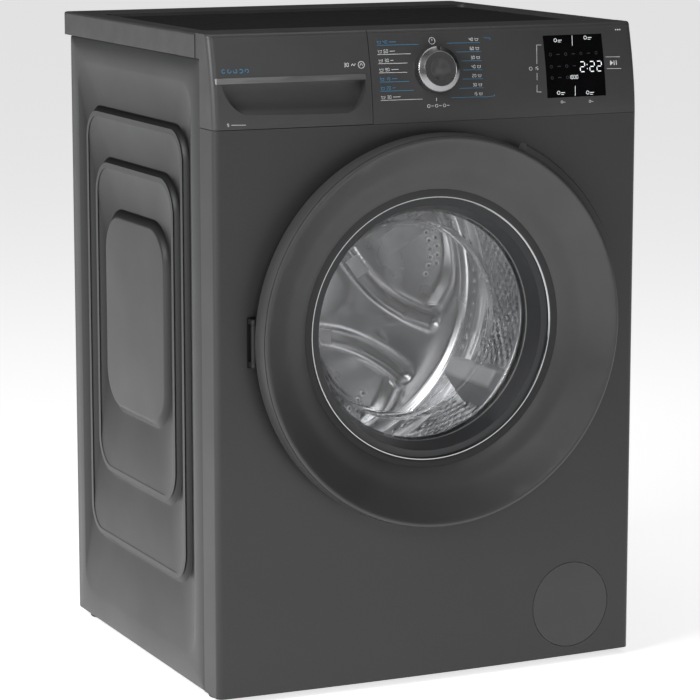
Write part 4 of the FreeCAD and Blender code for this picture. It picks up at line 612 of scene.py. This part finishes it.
def perforated_drum():
    """Front ring and wall of the drum, with its holes, as one sheet made solid."""
    columns = 2 * round(TAU * DRUM_RADIUS / HOLE_PITCH / 2)
    columns -= columns % (2 * LIFTERS)
    rows = round((DRUM_BACK - WALL_START) / HOLE_PITCH)
    fine = 2 * columns
    loops = [[round_axis(radius * MM, y * MM, turn) for turn in turns_in(fine)] for radius, y in FRONT_RING]
    for line in range(2 * rows + 1):
        y = WALL_START + (DRUM_BACK - WALL_START) * line / (2 * rows)
        loops.append([round_axis(wall_radius(turn, y), y, turn) for turn in turns_in(fine)])
    _, faces = rings(loops[:len(FRONT_RING) + 1])
    points = [point for loop in loops for point in loop]
    first = len(FRONT_RING) * fine
    for row in range(rows):
        for column in range(columns):
            left, middle, right = 2 * column, 2 * column + 1, (2 * column + 2) % fine
            near, centre, far = (first + (2 * row + step) * fine for step in range(3))
            border = [near + left, near + middle, near + right, centre + right,
                      far + right, far + middle, far + left, centre + left]
            turn = TAU * middle / fine
            y = WALL_START + (DRUM_BACK - WALL_START) * (2 * row + 1) / (2 * rows)
            if not is_hole(turn, y, column, row):
                faces.append(tuple(border))
                continue
            edge = []
            for corner in range(8):
                angle = math.radians(-135.0 + 45.0 * corner)
                hole_turn = turn + HOLE_RADIUS * math.cos(angle) / DRUM_RADIUS
                hole_y = y + HOLE_RADIUS * math.sin(angle)
                edge.append(len(points))
                points.append(round_axis(wall_radius(hole_turn, hole_y) - HOLE_RIM, hole_y, hole_turn))
            for corner in range(8):
                following = (corner + 1) % 8
                faces.append((border[corner], border[following], edge[following], edge[corner]))
    solid_sheet("perforated_drum_wall", points, faces, "drum_steel", "drum", "drum_shell",
                DRUM_WALL, -1.0, 50.0)


# Pressed pattern of the drum's back: a motif of two curved channels, each beside a round leaf
MOTIF_TURN = math.radians(-31.0)
MOTIFS = 2
LEAF_ALONG = 62 * MM          # middle of a leaf, along and across the motif's axis
LEAF_ACROSS = 88 * MM
CHANNEL_END = 172 * MM
CHANNEL_DEPTH = 7 * MM
SHALLOW_DEPTH = 2.5 * MM
LOBE_HEIGHT = 6 * MM
DOME_HEIGHT = 8 * MM


def in_motif(x, z):
    """Turn a point of the drum's back into its motif's own axes, along and across."""
    turn = math.atan2(z, x)
    step = TAU / MOTIFS
    turn = (turn - MOTIF_TURN + 0.5 * step) % step - 0.5 * step
    reach = math.hypot(x, z)
    return reach * math.cos(turn), reach * math.sin(turn)


def channel_distance(along, across):
    """Distance to the middle of the curved channel beside the motif's axis."""
    distances = []
    for k in range(25):
        u = CHANNEL_END * k / 24
        v = 36 * MM + 24 * MM * ((120 * MM - u) / (110 * MM)) ** 2
        distances.append(math.hypot(along - u, abs(across) - v))
    return min(distances)


def back_relief(x, z):
    """Height of the drum back's pressed pattern, towards the front."""
    along, across = in_motif(x, z)
    radius = math.hypot(x, z)
    distance = channel_distance(along, across)
    channel = 1.0 - smooth_step(distance, 6 * MM, 17 * MM)
    leaf = math.hypot(along - LEAF_ALONG, abs(across) - LEAF_ACROSS)
    outside_channel = smooth_step(distance, 15 * MM, 24 * MM)
    shallow = (1.0 - smooth_step(leaf, 88 * MM, 100 * MM)) * outside_channel
    shallow *= smooth_step(radius, 96 * MM, 130 * MM)
    lobe = bump(leaf, 111 * MM, 18 * MM) * smooth_step(along, 60 * MM, 120 * MM) * outside_channel
    lobe *= smooth_step(215 * MM - radius, 0.0, 14 * MM) * smooth_step(abs(across), 42 * MM, 66 * MM)
    dome = 1.0 - smooth_step(radius, 28 * MM, 92 * MM)
    raised = DOME_HEIGHT * dome + LOBE_HEIGHT * lobe
    return raised - CHANNEL_DEPTH * channel - SHALLOW_DEPTH * shallow


def back_holes():
    """Places of the holes in the drum's back: two rows along each leaf's edge."""
    rows = ((70 * MM, 76, 6, 8), (81 * MM, 64, 20, 6))
    edge = 208 * MM
    places = []
    for motif in range(MOTIFS):
        for mirror in (1, -1):
            for reach, first, last, count in rows:
                for k in range(count):
                    angle = math.radians(first + (last - first) * k / (count - 1))
                    along = LEAF_ALONG + reach * math.cos(angle)
                    across = mirror * (LEAF_ACROSS + reach * math.sin(angle))
                    turn = math.atan2(across, along) + MOTIF_TURN + TAU * motif / MOTIFS
                    radius = math.hypot(along, across)
                    if radius < edge:
                        places.append((radius * math.cos(turn), radius * math.sin(turn)))
    return places


def dots(face, outline, name, look):
    """The same small ring at each hole of the drum's back; outline is (radius, y) in millimetres."""
    parts = []
    for x, z in back_holes():
        front = face - back_relief(x, z)
        loops = [[(x + radius * MM * math.cos(turn), front + y * MM,
                   AXIS + z + radius * MM * math.sin(turn)) for turn in turns_in(16)]
                 for radius, y in outline]
        parts.append(rings(loops, closed_sweep=True))
    piece_from(name, *merged(parts), look, "drum", sharp=50.0)


def drum_back():
    """Pressed back of the drum, facing the door."""
    face = DRUM_BACK + 0.2 * MM
    ring_count = 84
    steps = 360
    edge = DRUM_RADIUS - 0.3 * MM
    rim_start = 213 * MM
    loops = []
    for ring in range(1, ring_count + 1):
        radius = edge * ring / ring_count
        loop = []
        for turn in turns_in(steps):
            x, z = radius * math.cos(turn), radius * math.sin(turn)
            fillet = smooth_step(radius, rim_start, edge) * 9 * MM
            loop.append((x, face - back_relief(x, z) - fillet, AXIS + z))
        loops.append(loop)
    points, faces = rings(loops)
    faces.append(tuple(range(steps)))
    solid_sheet("pressed_drum_back", points, faces, "polished_steel", "drum", "drum_back",
                DRUM_WALL, 1.0, 70.0)
    eyelets = [(4.6, 0.3), (4.3, -1.0), (3.5, -2.2), (2.6, -2.3), (2.1, -1.4), (2.0, 0.3)]
    # The eyelets are in the brighter copy of the drum's steel: painted highlight on their rims
    dots(face, eyelets, "drum_back_eyelets", "bright_steel")
    # Black rings in the eyelets: painted shade where the holes would show the dark behind the back
    dots(face, [(2.15, 0.2), (2.1, -0.35), (0.9, -0.4), (0.9, 0.2)], "drum_back_holes", "black_plastic")


def wall_band():
    """Smooth band where the drum's back meets its wall, in a brighter copy of the drum's steel that paints
    its highlight.
    """
    outline = [(224.2, 30), (221.6, 33), (220.6, 38), (220.2, 43),
               (220.6, 48), (221.6, 53), (224.2, 56), (224.6, 43)]
    points, faces = lathe([(radius * MM, y * MM) for radius, y in outline])
    piece_from("drum_wall_band", points, faces, "bright_steel", "drum", sharp=40.0)


def lifter(turn, y0, y1):
    """Points and faces of one lifter: a box that tapers to its tip, with its free edges rounded."""
    work = bmesh.new()
    corners = []
    base_radius = DRUM_RADIUS - 1.5 * MM
    for inward, half_width, lean in ((0.0, LIFTER_BASE, 0.0), (LIFTER_HEIGHT, LIFTER_TIP, LIFTER_LEAN)):
        for y, across in ((y0 + lean, -half_width), (y1 - lean, -half_width),
                          (y1 - lean, half_width), (y0 + lean, half_width)):
            radius = base_radius - inward
            x = radius * math.cos(turn) - across * math.sin(turn)
            z = radius * math.sin(turn) + across * math.cos(turn)
            corners.append(work.verts.new((x, y, AXIS + z)))
    work.faces.new(corners[:4])
    work.faces.new(corners[4:])
    for side in BOX_SIDES:
        work.faces.new([corners[k] for k in side])
    bmesh.ops.recalc_face_normals(work, faces=work.faces)
    upper = [edge for edge in work.edges if any(vert in corners[4:] for vert in edge.verts)]
    bmesh.ops.bevel(work, geom=upper, offset=5 * MM, segments=5, profile=0.5, affect="EDGES")
    work.verts.index_update()
    points = [tuple(vert.co) for vert in work.verts]
    faces = [tuple(vert.index for vert in face.verts) for face in work.faces]
    work.free()
    return points, faces


def lifters():
    """Three moulded lifters on the drum's wall."""
    (_, y0, _), (_, y1, _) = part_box("drum_lifters")
    points, faces = merged([lifter(LIFTER_TURN + TAU * index / LIFTERS, y0, y1) for index in range(LIFTERS)])
    piece_from("moulded_lifters", points, faces, "drawer_plastic", "drum", ["drum_lifters"], sharp=30.0)


# ---- gasket, springs, hoses ----

def gasket():
    """Bellows of soft rubber from the front panel's lip to the tub's mouth."""
    (_, front, _), (_, rear, _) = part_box("door_gasket")
    middle_radius = 165.5 * MM
    fold_height = 4 * MM
    thickness = 2.6 * MM
    sections = 40
    outer = []
    for k in range(sections + 1):
        share = k / sections
        fold = math.sin(TAU * min(1.0, max(0.0, (share - 0.12) / 0.8))) * fold_height
        outer.append((middle_radius + fold * smooth_step(share, 0.08, 0.3), front + (rear - front) * share))
    inner = [(radius - thickness, y) for radius, y in reversed(outer)]
    points, faces = lathe(outer + inner)
    piece = piece_from("gasket_bellows", points, faces, "grey_rubber", None, sharp=80.0)
    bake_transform(piece)
    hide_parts("door_gasket")


def swept(route, radius, sides):
    """Round bar along a route of points, closed at both ends."""
    loops = []
    for index, point in enumerate(route):
        ahead = Vector(route[min(index + 1, len(route) - 1)])
        behind = Vector(route[max(index - 1, 0)])
        along = (ahead - behind).normalized()
        across = along.cross(Vector((0.0, 0.0, 1.0)))
        across = across.normalized() if across.length > 0.01 else Vector((1.0, 0.0, 0.0))
        up = across.cross(along)
        loops.append([tuple(Vector(point) + radius * (math.cos(turn) * across + math.sin(turn) * up))
                      for turn in turns_in(sides)])
    return capped(loops)


def springs():
    """Two close-wound suspension springs with their end hooks."""
    (x0, y0, z0), (x1, y1, z1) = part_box("suspension_springs")
    wire = 1.6 * MM
    coil = 0.5 * (y1 - y0) - wire
    middle_y = 0.5 * (y0 + y1)
    hook = 16 * MM
    turns = 20
    steps = 16
    parts = []
    for middle_x in (x0 + coil + wire, x1 - coil - wire):
        route = [(middle_x, middle_y, z0 + wire), (middle_x, middle_y, z0 + 0.6 * hook)]
        for k in range(turns * steps + 1):
            share = k / (turns * steps)
            angle = TAU * turns * share
            reach = coil * min(1.0, 12 * share, 12 * (1.0 - share))
            route.append((middle_x + reach * math.cos(angle), middle_y + reach * math.sin(angle),
                          z0 + hook + (z1 - z0 - 2 * hook) * share))
        route += [(middle_x, middle_y, z1 - 0.6 * hook), (middle_x, middle_y, z1 - wire)]
        parts.append(swept(route, wire, 8))
    piece = piece_from("coil_springs", *merged(parts), "bearing_steel", None, sharp=80.0)
    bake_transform(piece)
    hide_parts("suspension_springs")


def dispenser_bellows():
    """Corrugated rubber hose from the drawer's housing down to the tub."""
    (x0, y0, z0), (x1, y1, z1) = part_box("dispenser_hose")
    middle_x, middle_y = 0.5 * (x0 + x1), 0.5 * (y0 + y1)
    outer_radius = 0.5 * (x1 - x0)
    fold_depth = 1.2 * MM
    thickness = 1.6 * MM
    folds = 5
    lines = 12 * folds
    outer = []
    for k in range(lines + 1):
        share = k / lines
        fold = 0.5 * (1.0 - math.cos(TAU * folds * share))
        outer.append((outer_radius - fold_depth * fold, z0 + (z1 - z0) * share))
    inner = [(radius - thickness, z) for radius, z in reversed(outer)]
    loops = [[(middle_x + radius * math.cos(turn), middle_y + radius * math.sin(turn), z)
              for turn in turns_in(64)] for radius, z in outer + inner]
    points, faces = rings(loops, closed_sweep=True)
    piece = piece_from("dispenser_bellows", points, faces, "black_rubber", None, sharp=80.0)
    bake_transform(piece)
    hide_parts("dispenser_hose")


def bending_sump_hose():
    """Copy of the sump's hose in black rubber, in place of the CAD one."""
    node = frame["nodes"]["sump_hose"]
    piece = placed("sump_hose_bending", node.data.copy())
    piece.matrix_world = node.matrix_world.copy()
    dress(piece, "black_rubber")
    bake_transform(piece)
    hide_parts("sump_hose")


# ---- controls ----

KNOB = JOINTS["knob_turn"]
KNOB_AXIS = Vector(KNOB["axis"]).normalized()
KNOB_CENTRE = Vector(KNOB["pos_m"])
KNOB_UP = (Vector((0.0, 0.0, 1.0)) - KNOB_AXIS * KNOB_AXIS.z).normalized()
KNOB_RIGHT = KNOB_UP.cross(KNOB_AXIS).normalized() * -1.0
FLUTES = 60
FLUTE_DEPTH = 0.22            # millimetres, as in the profiles below

# (radius, height) in millimetres
RING_PROFILE = [(6.0, 0.6), (26.8, 0.6), (28.2, 0.9), (29.0, 1.8), (29.3, 3.2), (29.3, 10.8), (29.1, 12.0),
                (28.6, 12.6), (27.6, 13.3), (25.0, 14.9), (22.9, 16.2), (22.3, 16.5), (21.9, 16.4),
                (21.6, 16.0)]
FACE_PROFILE = [(21.75, 15.6), (21.75, 16.15), (21.4, 16.35), (20.6, 16.3), (14.0, 16.0), (7.0, 15.8),
                (0.4, 15.75)]


def knob_place(radius, turn, height):
    """Point round the knob's axis; turn 0 is straight up, and grows clockwise as seen from the front."""
    flat = KNOB_UP * math.cos(turn) + KNOB_RIGHT * math.sin(turn)
    return tuple(KNOB_CENTRE + flat * radius + KNOB_AXIS * height)


def knob():
    """Turned knob: fluted skirt, bright bevel, a dished dark face and a pointer notch."""
    loops = []
    for radius, height in RING_PROFILE:
        fluted = 2.0 < height < 12.3 and radius > 28
        depth = FLUTE_DEPTH if fluted else 0.0
        loops.append([knob_place((radius - 0.25 + depth * math.cos(FLUTES * turn)) * MM, turn, height * MM)
                      for turn in turns_in(240)])
    piece_from("knob_ring", *capped(loops), "knob_metal", "knob", ["programme_knob"], sharp=30.0)
    loops = [[knob_place(radius * MM, turn, height * MM) for turn in turns_in(120)]
             for radius, height in FACE_PROFILE]
    piece_from("knob_face", *capped(loops), "grey_plastic", "knob", sharp=40.0)
    notch = bar_on_knob(21.9, 28.9, 1.7, 12.9, 15.4)
    piece_from("knob_pointer", *notch, "black_plastic", "knob", sharp=30.0)


def bar_on_knob(inner, outer, half_width, bottom, top):
    """Straight bar along the knob's upper radius; all in millimetres."""
    outline = ((inner, -half_width), (outer, -half_width), (outer, half_width), (inner, half_width))
    corners = []
    for height in (bottom, top):
        for radius, across in outline:
            flat = KNOB_UP * radius * MM + KNOB_RIGHT * across * MM
            corners.append(tuple(KNOB_CENTRE + flat + KNOB_AXIS * height * MM))
    return corners, [(0, 1, 2, 3), (4, 5, 6, 7)] + BOX_SIDES


# ---- printed and lit marks on the fascia ----

SEAM = 729 * MM               # bottom and top of the fascia
TOP = 845 * MM
CORNER_FRONT = -247 * MM      # front of the cabinet at its corners
FRONT_BOW = 7 * MM            # how much further forward the middle is
BOW_REACH = 290 * MM
LEAN = 20 * MM                # how far the fascia leans back at the top
LEAN_POWER = 1.6
INK = 0.12                    # millimetres


def fascia_point(x, z, proud):
    """Point on the bowed, leaning fascia; all in millimetres except the result."""
    share = max(0.0, (z * MM - SEAM) / (TOP - SEAM))
    y = CORNER_FRONT - FRONT_BOW * (1.0 - (x * MM / BOW_REACH) ** 2) + LEAN * share ** LEAN_POWER
    return (x * MM, y - proud * MM, z * MM)


class Marks:
    """Thin strokes printed on the fascia, gathered into one piece; all in millimetres."""

    def __init__(self, proud):
        self.proud = proud
        self.points = []
        self.faces = []

    def quad(self, corners):
        """Four-cornered patch of ink."""
        start = len(self.points)
        for level in (self.proud, self.proud + INK):
            self.points += [fascia_point(x, z, level) for x, z in corners]
        self.faces += [tuple(start + k for k in face) for face in [(3, 2, 1, 0), (4, 5, 6, 7)] + BOX_SIDES]

    def stroke(self, first, second, width):
        """Straight stroke from the first place to the second."""
        (x0, z0), (x1, z1) = first, second
        length = math.hypot(x1 - x0, z1 - z0)
        across = (-(z1 - z0) / length * 0.5 * width, (x1 - x0) / length * 0.5 * width)
        self.quad([(x0 - across[0], z0 - across[1]), (x1 - across[0], z1 - across[1]),
                   (x1 + across[0], z1 + across[1]), (x0 + across[0], z0 + across[1])])

    def path(self, places, width):
        """Strokes from place to place."""
        for first, second in zip(places, places[1:]):
            self.stroke(first, second, width)

    def ring(self, x, z, radius, width, start=0.0, end=360.0, parts=20):
        """Circle, or an arc between two angles in degrees."""
        angles = [math.radians(start + (end - start) * k / parts) for k in range(parts + 1)]
        self.path([(x + radius * math.cos(a), z + radius * math.sin(a)) for a in angles], width)

    def number(self, text, x, z, height, width):
        """Digits drawn with seven straight segments; x is the left end and z the bottom."""
        wide = 0.55 * height
        half = 0.5 * height
        ends = {"a": ((0, height), (wide, height)), "b": ((wide, height), (wide, half)),
                "c": ((wide, half), (wide, 0)), "d": ((0, 0), (wide, 0)), "e": ((0, half), (0, 0)),
                "f": ((0, height), (0, half)), "g": ((0, half), (wide, half))}
        lit = {"0": "abcdef", "1": "bc", "2": "abged", "3": "abgcd", "4": "fgbc", "5": "afgcd",
               "6": "afgedc", "8": "abcdefg", "9": "abcfgd"}
        for character in text:
            if character == ":":
                self.stroke((x, z + 0.25 * height), (x, z + 0.35 * height), width)
                self.stroke((x, z + 0.65 * height), (x, z + 0.75 * height), width)
                x += 0.3 * height
                continue
            for segment in lit[character]:
                (x0, z0), (x1, z1) = ends[segment]
                shrink = 0.08 * height
                length = math.hypot(x1 - x0, z1 - z0)
                dx, dz = (x1 - x0) / length * shrink, (z1 - z0) / length * shrink
                self.stroke((x + x0 + dx, z + z0 + dz), (x + x1 - dx, z + z1 - dz), width)
            x += 0.85 * height

    def tub(self, x, z, size):
        """Generic wash symbol: a basin with a wavy water line."""
        basin = [(x, z + size), (x + 0.2 * size, z), (x + 1.2 * size, z), (x + 1.4 * size, z + size)]
        self.path(basin, 0.35)
        water = [(x + size * (0.05 + 1.3 * k / 12), z + size * (0.72 + 0.1 * math.sin(math.pi * k / 2)))
                 for k in range(13)]
        self.path(water, 0.3)

    def finish(self, name, look, body="cabinet"):
        """Make the gathered strokes into a piece."""
        piece_from(name, self.points, self.faces, look, body, sharp=30.0)


def dial_marks():
    """Programme lines on both sides of the knob, each with a wash symbol and a number."""
    white = Marks(0.0)
    blue = Marks(0.0)
    centre_x = KNOB_CENTRE.x / MM
    centre_z = KNOB_CENTRE.z / MM
    pitch = 11.3
    reach = 39.5
    left_end, right_end = -74.0, 71.0
    left_numbers = ("40", "60", "30", "90", "15", "20", "30")
    right_numbers = ("40", "60", "30", "40", "20", "30", "15")
    for row in range(7):
        rise = (3 - row) * pitch
        z = centre_z + rise - 0.8
        gap = math.sqrt(max(20.0 ** 2, reach ** 2 - rise ** 2))
        left = blue if row in (0, 4, 5) else white
        left.stroke((left_end, z), (centre_x - gap, z - 0.4), 0.5)
        left.tub(left_end + 1.0, z + 1.8, 3.6)
        left.number(left_numbers[row], left_end + 9.0, z + 1.8, 3.8, 0.5)
        left.stroke((left_end + 17.0, z + 3.6), (left_end + 27.0 - row % 3 * 3.0, z + 3.6), 0.6)
        blue.stroke((centre_x + gap, z - 0.3), (right_end, z - 0.8), 0.45)
        white.tub(right_end - 7.0, z + 1.6, 3.4)
        white.number(right_numbers[row], right_end - 15.0, z + 1.6, 3.6, 0.5)
    bracket = right_end + 15.0
    blue.path([(right_end + 6, centre_z + 38), (bracket, centre_z + 37.5), (bracket, centre_z - 35),
               (right_end, centre_z - 36)], 0.45)
    white.ring(centre_x - 0.8, centre_z + 36.4, 4.2, 0.6)
    white.stroke((centre_x - 0.8, centre_z + 36.4), (centre_x - 0.8, centre_z + 39.0), 0.6)
    white.stroke((centre_x - 0.8, centre_z - 34.5), (centre_x - 0.8, centre_z - 38.5), 0.6)
    for step in (-1, 0, 1):
        x = centre_x + 11 * step
        white.ring(x - 1.0, centre_z - 44.2, 1.9, 0.5, parts=12)
        white.stroke((x + 2.4, centre_z - 44.2), (x + 6.0, centre_z - 44.3), 0.5)
    white.finish("dial_marks_white", "printed_white")
    blue.finish("dial_marks_blue", "printed_blue")


def label_marks():
    """Small generic marks beside the drawer, the window and the start key."""
    white = Marks(0.0)
    drawer_white = Marks(0.0)
    drawer_blue = Marks(0.0)
    for index in range(5):
        x = -281.0 + 7.6 * index
        drawer_blue.ring(x, 800.6 - 0.12 * index, 2.2, 0.7, 40.0 + 60.0 * index, 320.0 + 60.0 * index, 12)
    drawer_white.number("30", -121.0, 801.3, 4.4, 0.6)
    drawer_white.path([(-111.5, 802.0), (-109.5, 804.6), (-107.5, 802.0), (-105.5, 804.6)], 0.55)
    drawer_white.ring(-97.5, 802.9, 4.2, 0.6)
    drawer_white.path([(-99.6, 801.8), (-97.5, 804.8), (-95.4, 801.8)], 0.5)
    drawer_white.number("9", -280.0, 733.8, 3.4, 0.45)
    drawer_white.stroke((-275.0, 735.4), (-256.0, 734.8), 0.5)
    white.path([(159.5, 819.4), (152.8, 819.6), (150.6, 796.0)], 0.5)
    white.path([(149.8, 784.5), (148.0, 760.5), (154.6, 760.2)], 0.5)
    white.ring(141.0, 790.2, 2.1, 0.5, parts=12)
    white.number("15", 146.5, 788.4, 3.8, 0.5)
    white.stroke((254.0, 801.2), (276.0, 800.6), 0.5)
    white.stroke((254.6, 786.2), (276.4, 785.6), 0.5)
    for k in range(6):
        x = 260.6 + 0.75 * k
        half = 3.1 - 0.55 * k
        white.stroke((x, 793.4 - half), (x, 793.4 + half), 0.8)
    for x in (266.2, 269.6):
        white.stroke((x, 790.4), (x, 796.4), 1.1)
    for k in range(3):
        white.stroke((272.6 + 3.2 * k, 835.2), (274.4 + 3.2 * k, 835.2), 1.4)
    for x, z in ((184.6, 746.4), (226.4, 745.6)):
        white.ring(x, z, 1.5, 0.5, parts=10)
        white.stroke((x + 2.4, z - 0.4), (x + 5.0, z - 0.4), 0.5)
    white.finish("label_marks_white", "printed_white")
    drawer_white.finish("drawer_marks_white", "printed_white", "drawer")
    drawer_blue.finish("drawer_marks_blue", "printed_blue", "drawer")


def display_marks(proud):
    """Lit numbers and the faint symbols of the display, under its window's face."""
    lit = Marks(proud)
    lit.number("2:22", 214.5, 783.6, 12.6, 1.15)
    lit.number("1000", 196.4, 775.2, 4.4, 0.55)
    lit.stroke((206.6, 830.0), (205.6, 817.0), 0.45)
    lit.stroke((205.2, 766.0), (204.6, 753.6), 0.45)
    for x, z in ((181.0, 824.6), (226.0, 826.6), (180.0, 758.2), (223.4, 756.8)):
        lit.ring(x, z, 2.1, 0.5, parts=12)
        lit.stroke((x + 3.6, z), (x + 9.5, z - 0.1), 0.6)
        lit.stroke((x + 3.6, z - 2.2), (x + 7.6, z - 2.3), 0.5)
    lit.finish("display_lit", "lit_white")
    faint = Marks(proud)
    for row, z in enumerate((806.8, 791.6, 777.4)):
        for column in range(7):
            x = 171.6 + 11.4 * column
            if row and column > 3 - (row == 2):
                continue
            if column % 2:
                faint.stroke((x - 2.4, z), (x + 2.4, z), 0.9)
            else:
                faint.ring(x, z, 1.8, 0.6, parts=8)
    faint.finish("display_unlit", "unlit_grey")


# ---- camera, light and floor ----

CAMERA_PLACE = (-1.6853, -3.6150, 1.0976)
CAMERA_DOWN = 9.968           # degrees below level
CAMERA_TURN = 25.002          # degrees from straight on, from the left
LENS = 153.8
SENSOR = 36.0
DAYLIGHT = (-0.62, -0.18, 0.76)   # direction the sky is brightest in
FLOOR_REACH = 40.0


def camera():
    """Camera at the front left, a little above the machine."""
    data = bpy.data.cameras.new("camera")
    data.lens = LENS
    data.sensor_width = SENSOR
    data.clip_end = 100.0
    piece = placed("camera", data, CAMERA_PLACE)
    piece.rotation_euler = (math.radians(90.0 - CAMERA_DOWN), 0.0, math.radians(-CAMERA_TURN))
    bpy.context.scene.camera = piece


def area_light(name, place, target, size, power):
    """Soft rectangular light that faces a target."""
    data = bpy.data.lights.new(name, "AREA")
    data.shape = "RECTANGLE"
    data.size, data.size_y = size
    data.energy = power
    direction = Vector(target) - Vector(place)
    placed(name, data, place).rotation_euler = direction.to_track_quat("-Z", "Y").to_euler()


def studio():
    """Soft daylight from the upper left that fades towards the right and the floor."""
    world = bpy.data.worlds.new("studio")
    world.use_nodes = True
    nodes = world.node_tree.nodes
    links = world.node_tree.links
    direction = nodes.new("ShaderNodeTexCoord").outputs["Generated"]
    aim = nodes.new("ShaderNodeVectorMath")
    aim.operation = "DOT_PRODUCT"
    aim.inputs[1].default_value = Vector(DAYLIGHT).normalized()
    links.new(direction, aim.inputs[0])
    level = nodes.new("ShaderNodeMapRange")
    for socket, number in (("From Min", -0.35), ("From Max", 1.0), ("To Min", 0.22), ("To Max", 1.15)):
        level.inputs[socket].default_value = number
    links.new(aim.outputs["Value"], level.inputs["Value"])
    links.new(level.outputs["Result"], nodes["Background"].inputs["Strength"])
    bpy.context.scene.world = world
    bpy.context.scene.view_settings.view_transform = "Standard"
    area_light("key", (-3.2, -0.9, 2.0), (0.0, 0.0, 0.5), (1.6, 1.6), 85.0)
    area_light("front", (-0.6, -3.6, 2.4), (0.0, 0.0, 0.45), (2.2, 1.2), 26.0)
    area_light("top", (0.0, 0.3, 3.2), (0.0, 0.0, 0.8), (2.6, 2.0), 22.0)


def drum_light():
    """Small lamp in the upper part of the drum, which brings out its pressed pattern."""
    data = bpy.data.lights.new("drum_lamp", "POINT")
    data.energy = 0.9
    data.shadow_soft_size = 0.07
    piece = placed("drum_lamp", data, (-0.07, -0.13, AXIS + 0.11))
    piece.visible_camera = False
    piece.visible_transmission = False


def floor():
    """Pale floor, lit a little by itself so that it reads as white."""
    reach = FLOOR_REACH
    corners = [(-reach, -reach, 0), (reach, -reach, 0), (reach, reach, 0), (-reach, reach, 0)]
    mesh = bpy.data.meshes.new("floor")
    mesh.from_pydata(corners, [], [(0, 1, 2, 3)])
    piece = placed("floor", mesh)
    recipe = Recipe("floor_paper")
    mottled(recipe, (0.88, 0.88, 0.88), 0.01, 3.0)
    recipe.value("Roughness", 0.9)
    recipe.value("Emission Color", (1.0, 1.0, 1.0, 1.0))
    recipe.value("Emission Strength", 0.72)
    mesh.materials.append(recipe.material)


camera()
studio()
drum_light()
floor()
side_panel(-1, "side_panel_left")
side_panel(1, "side_panel_right")
perforated_drum()
drum_back()
wall_band()
lifters()
gasket()
springs()
dispenser_bellows()
bending_sump_hose()
knob()
dial_marks()
label_marks()
display_marks(0.02)
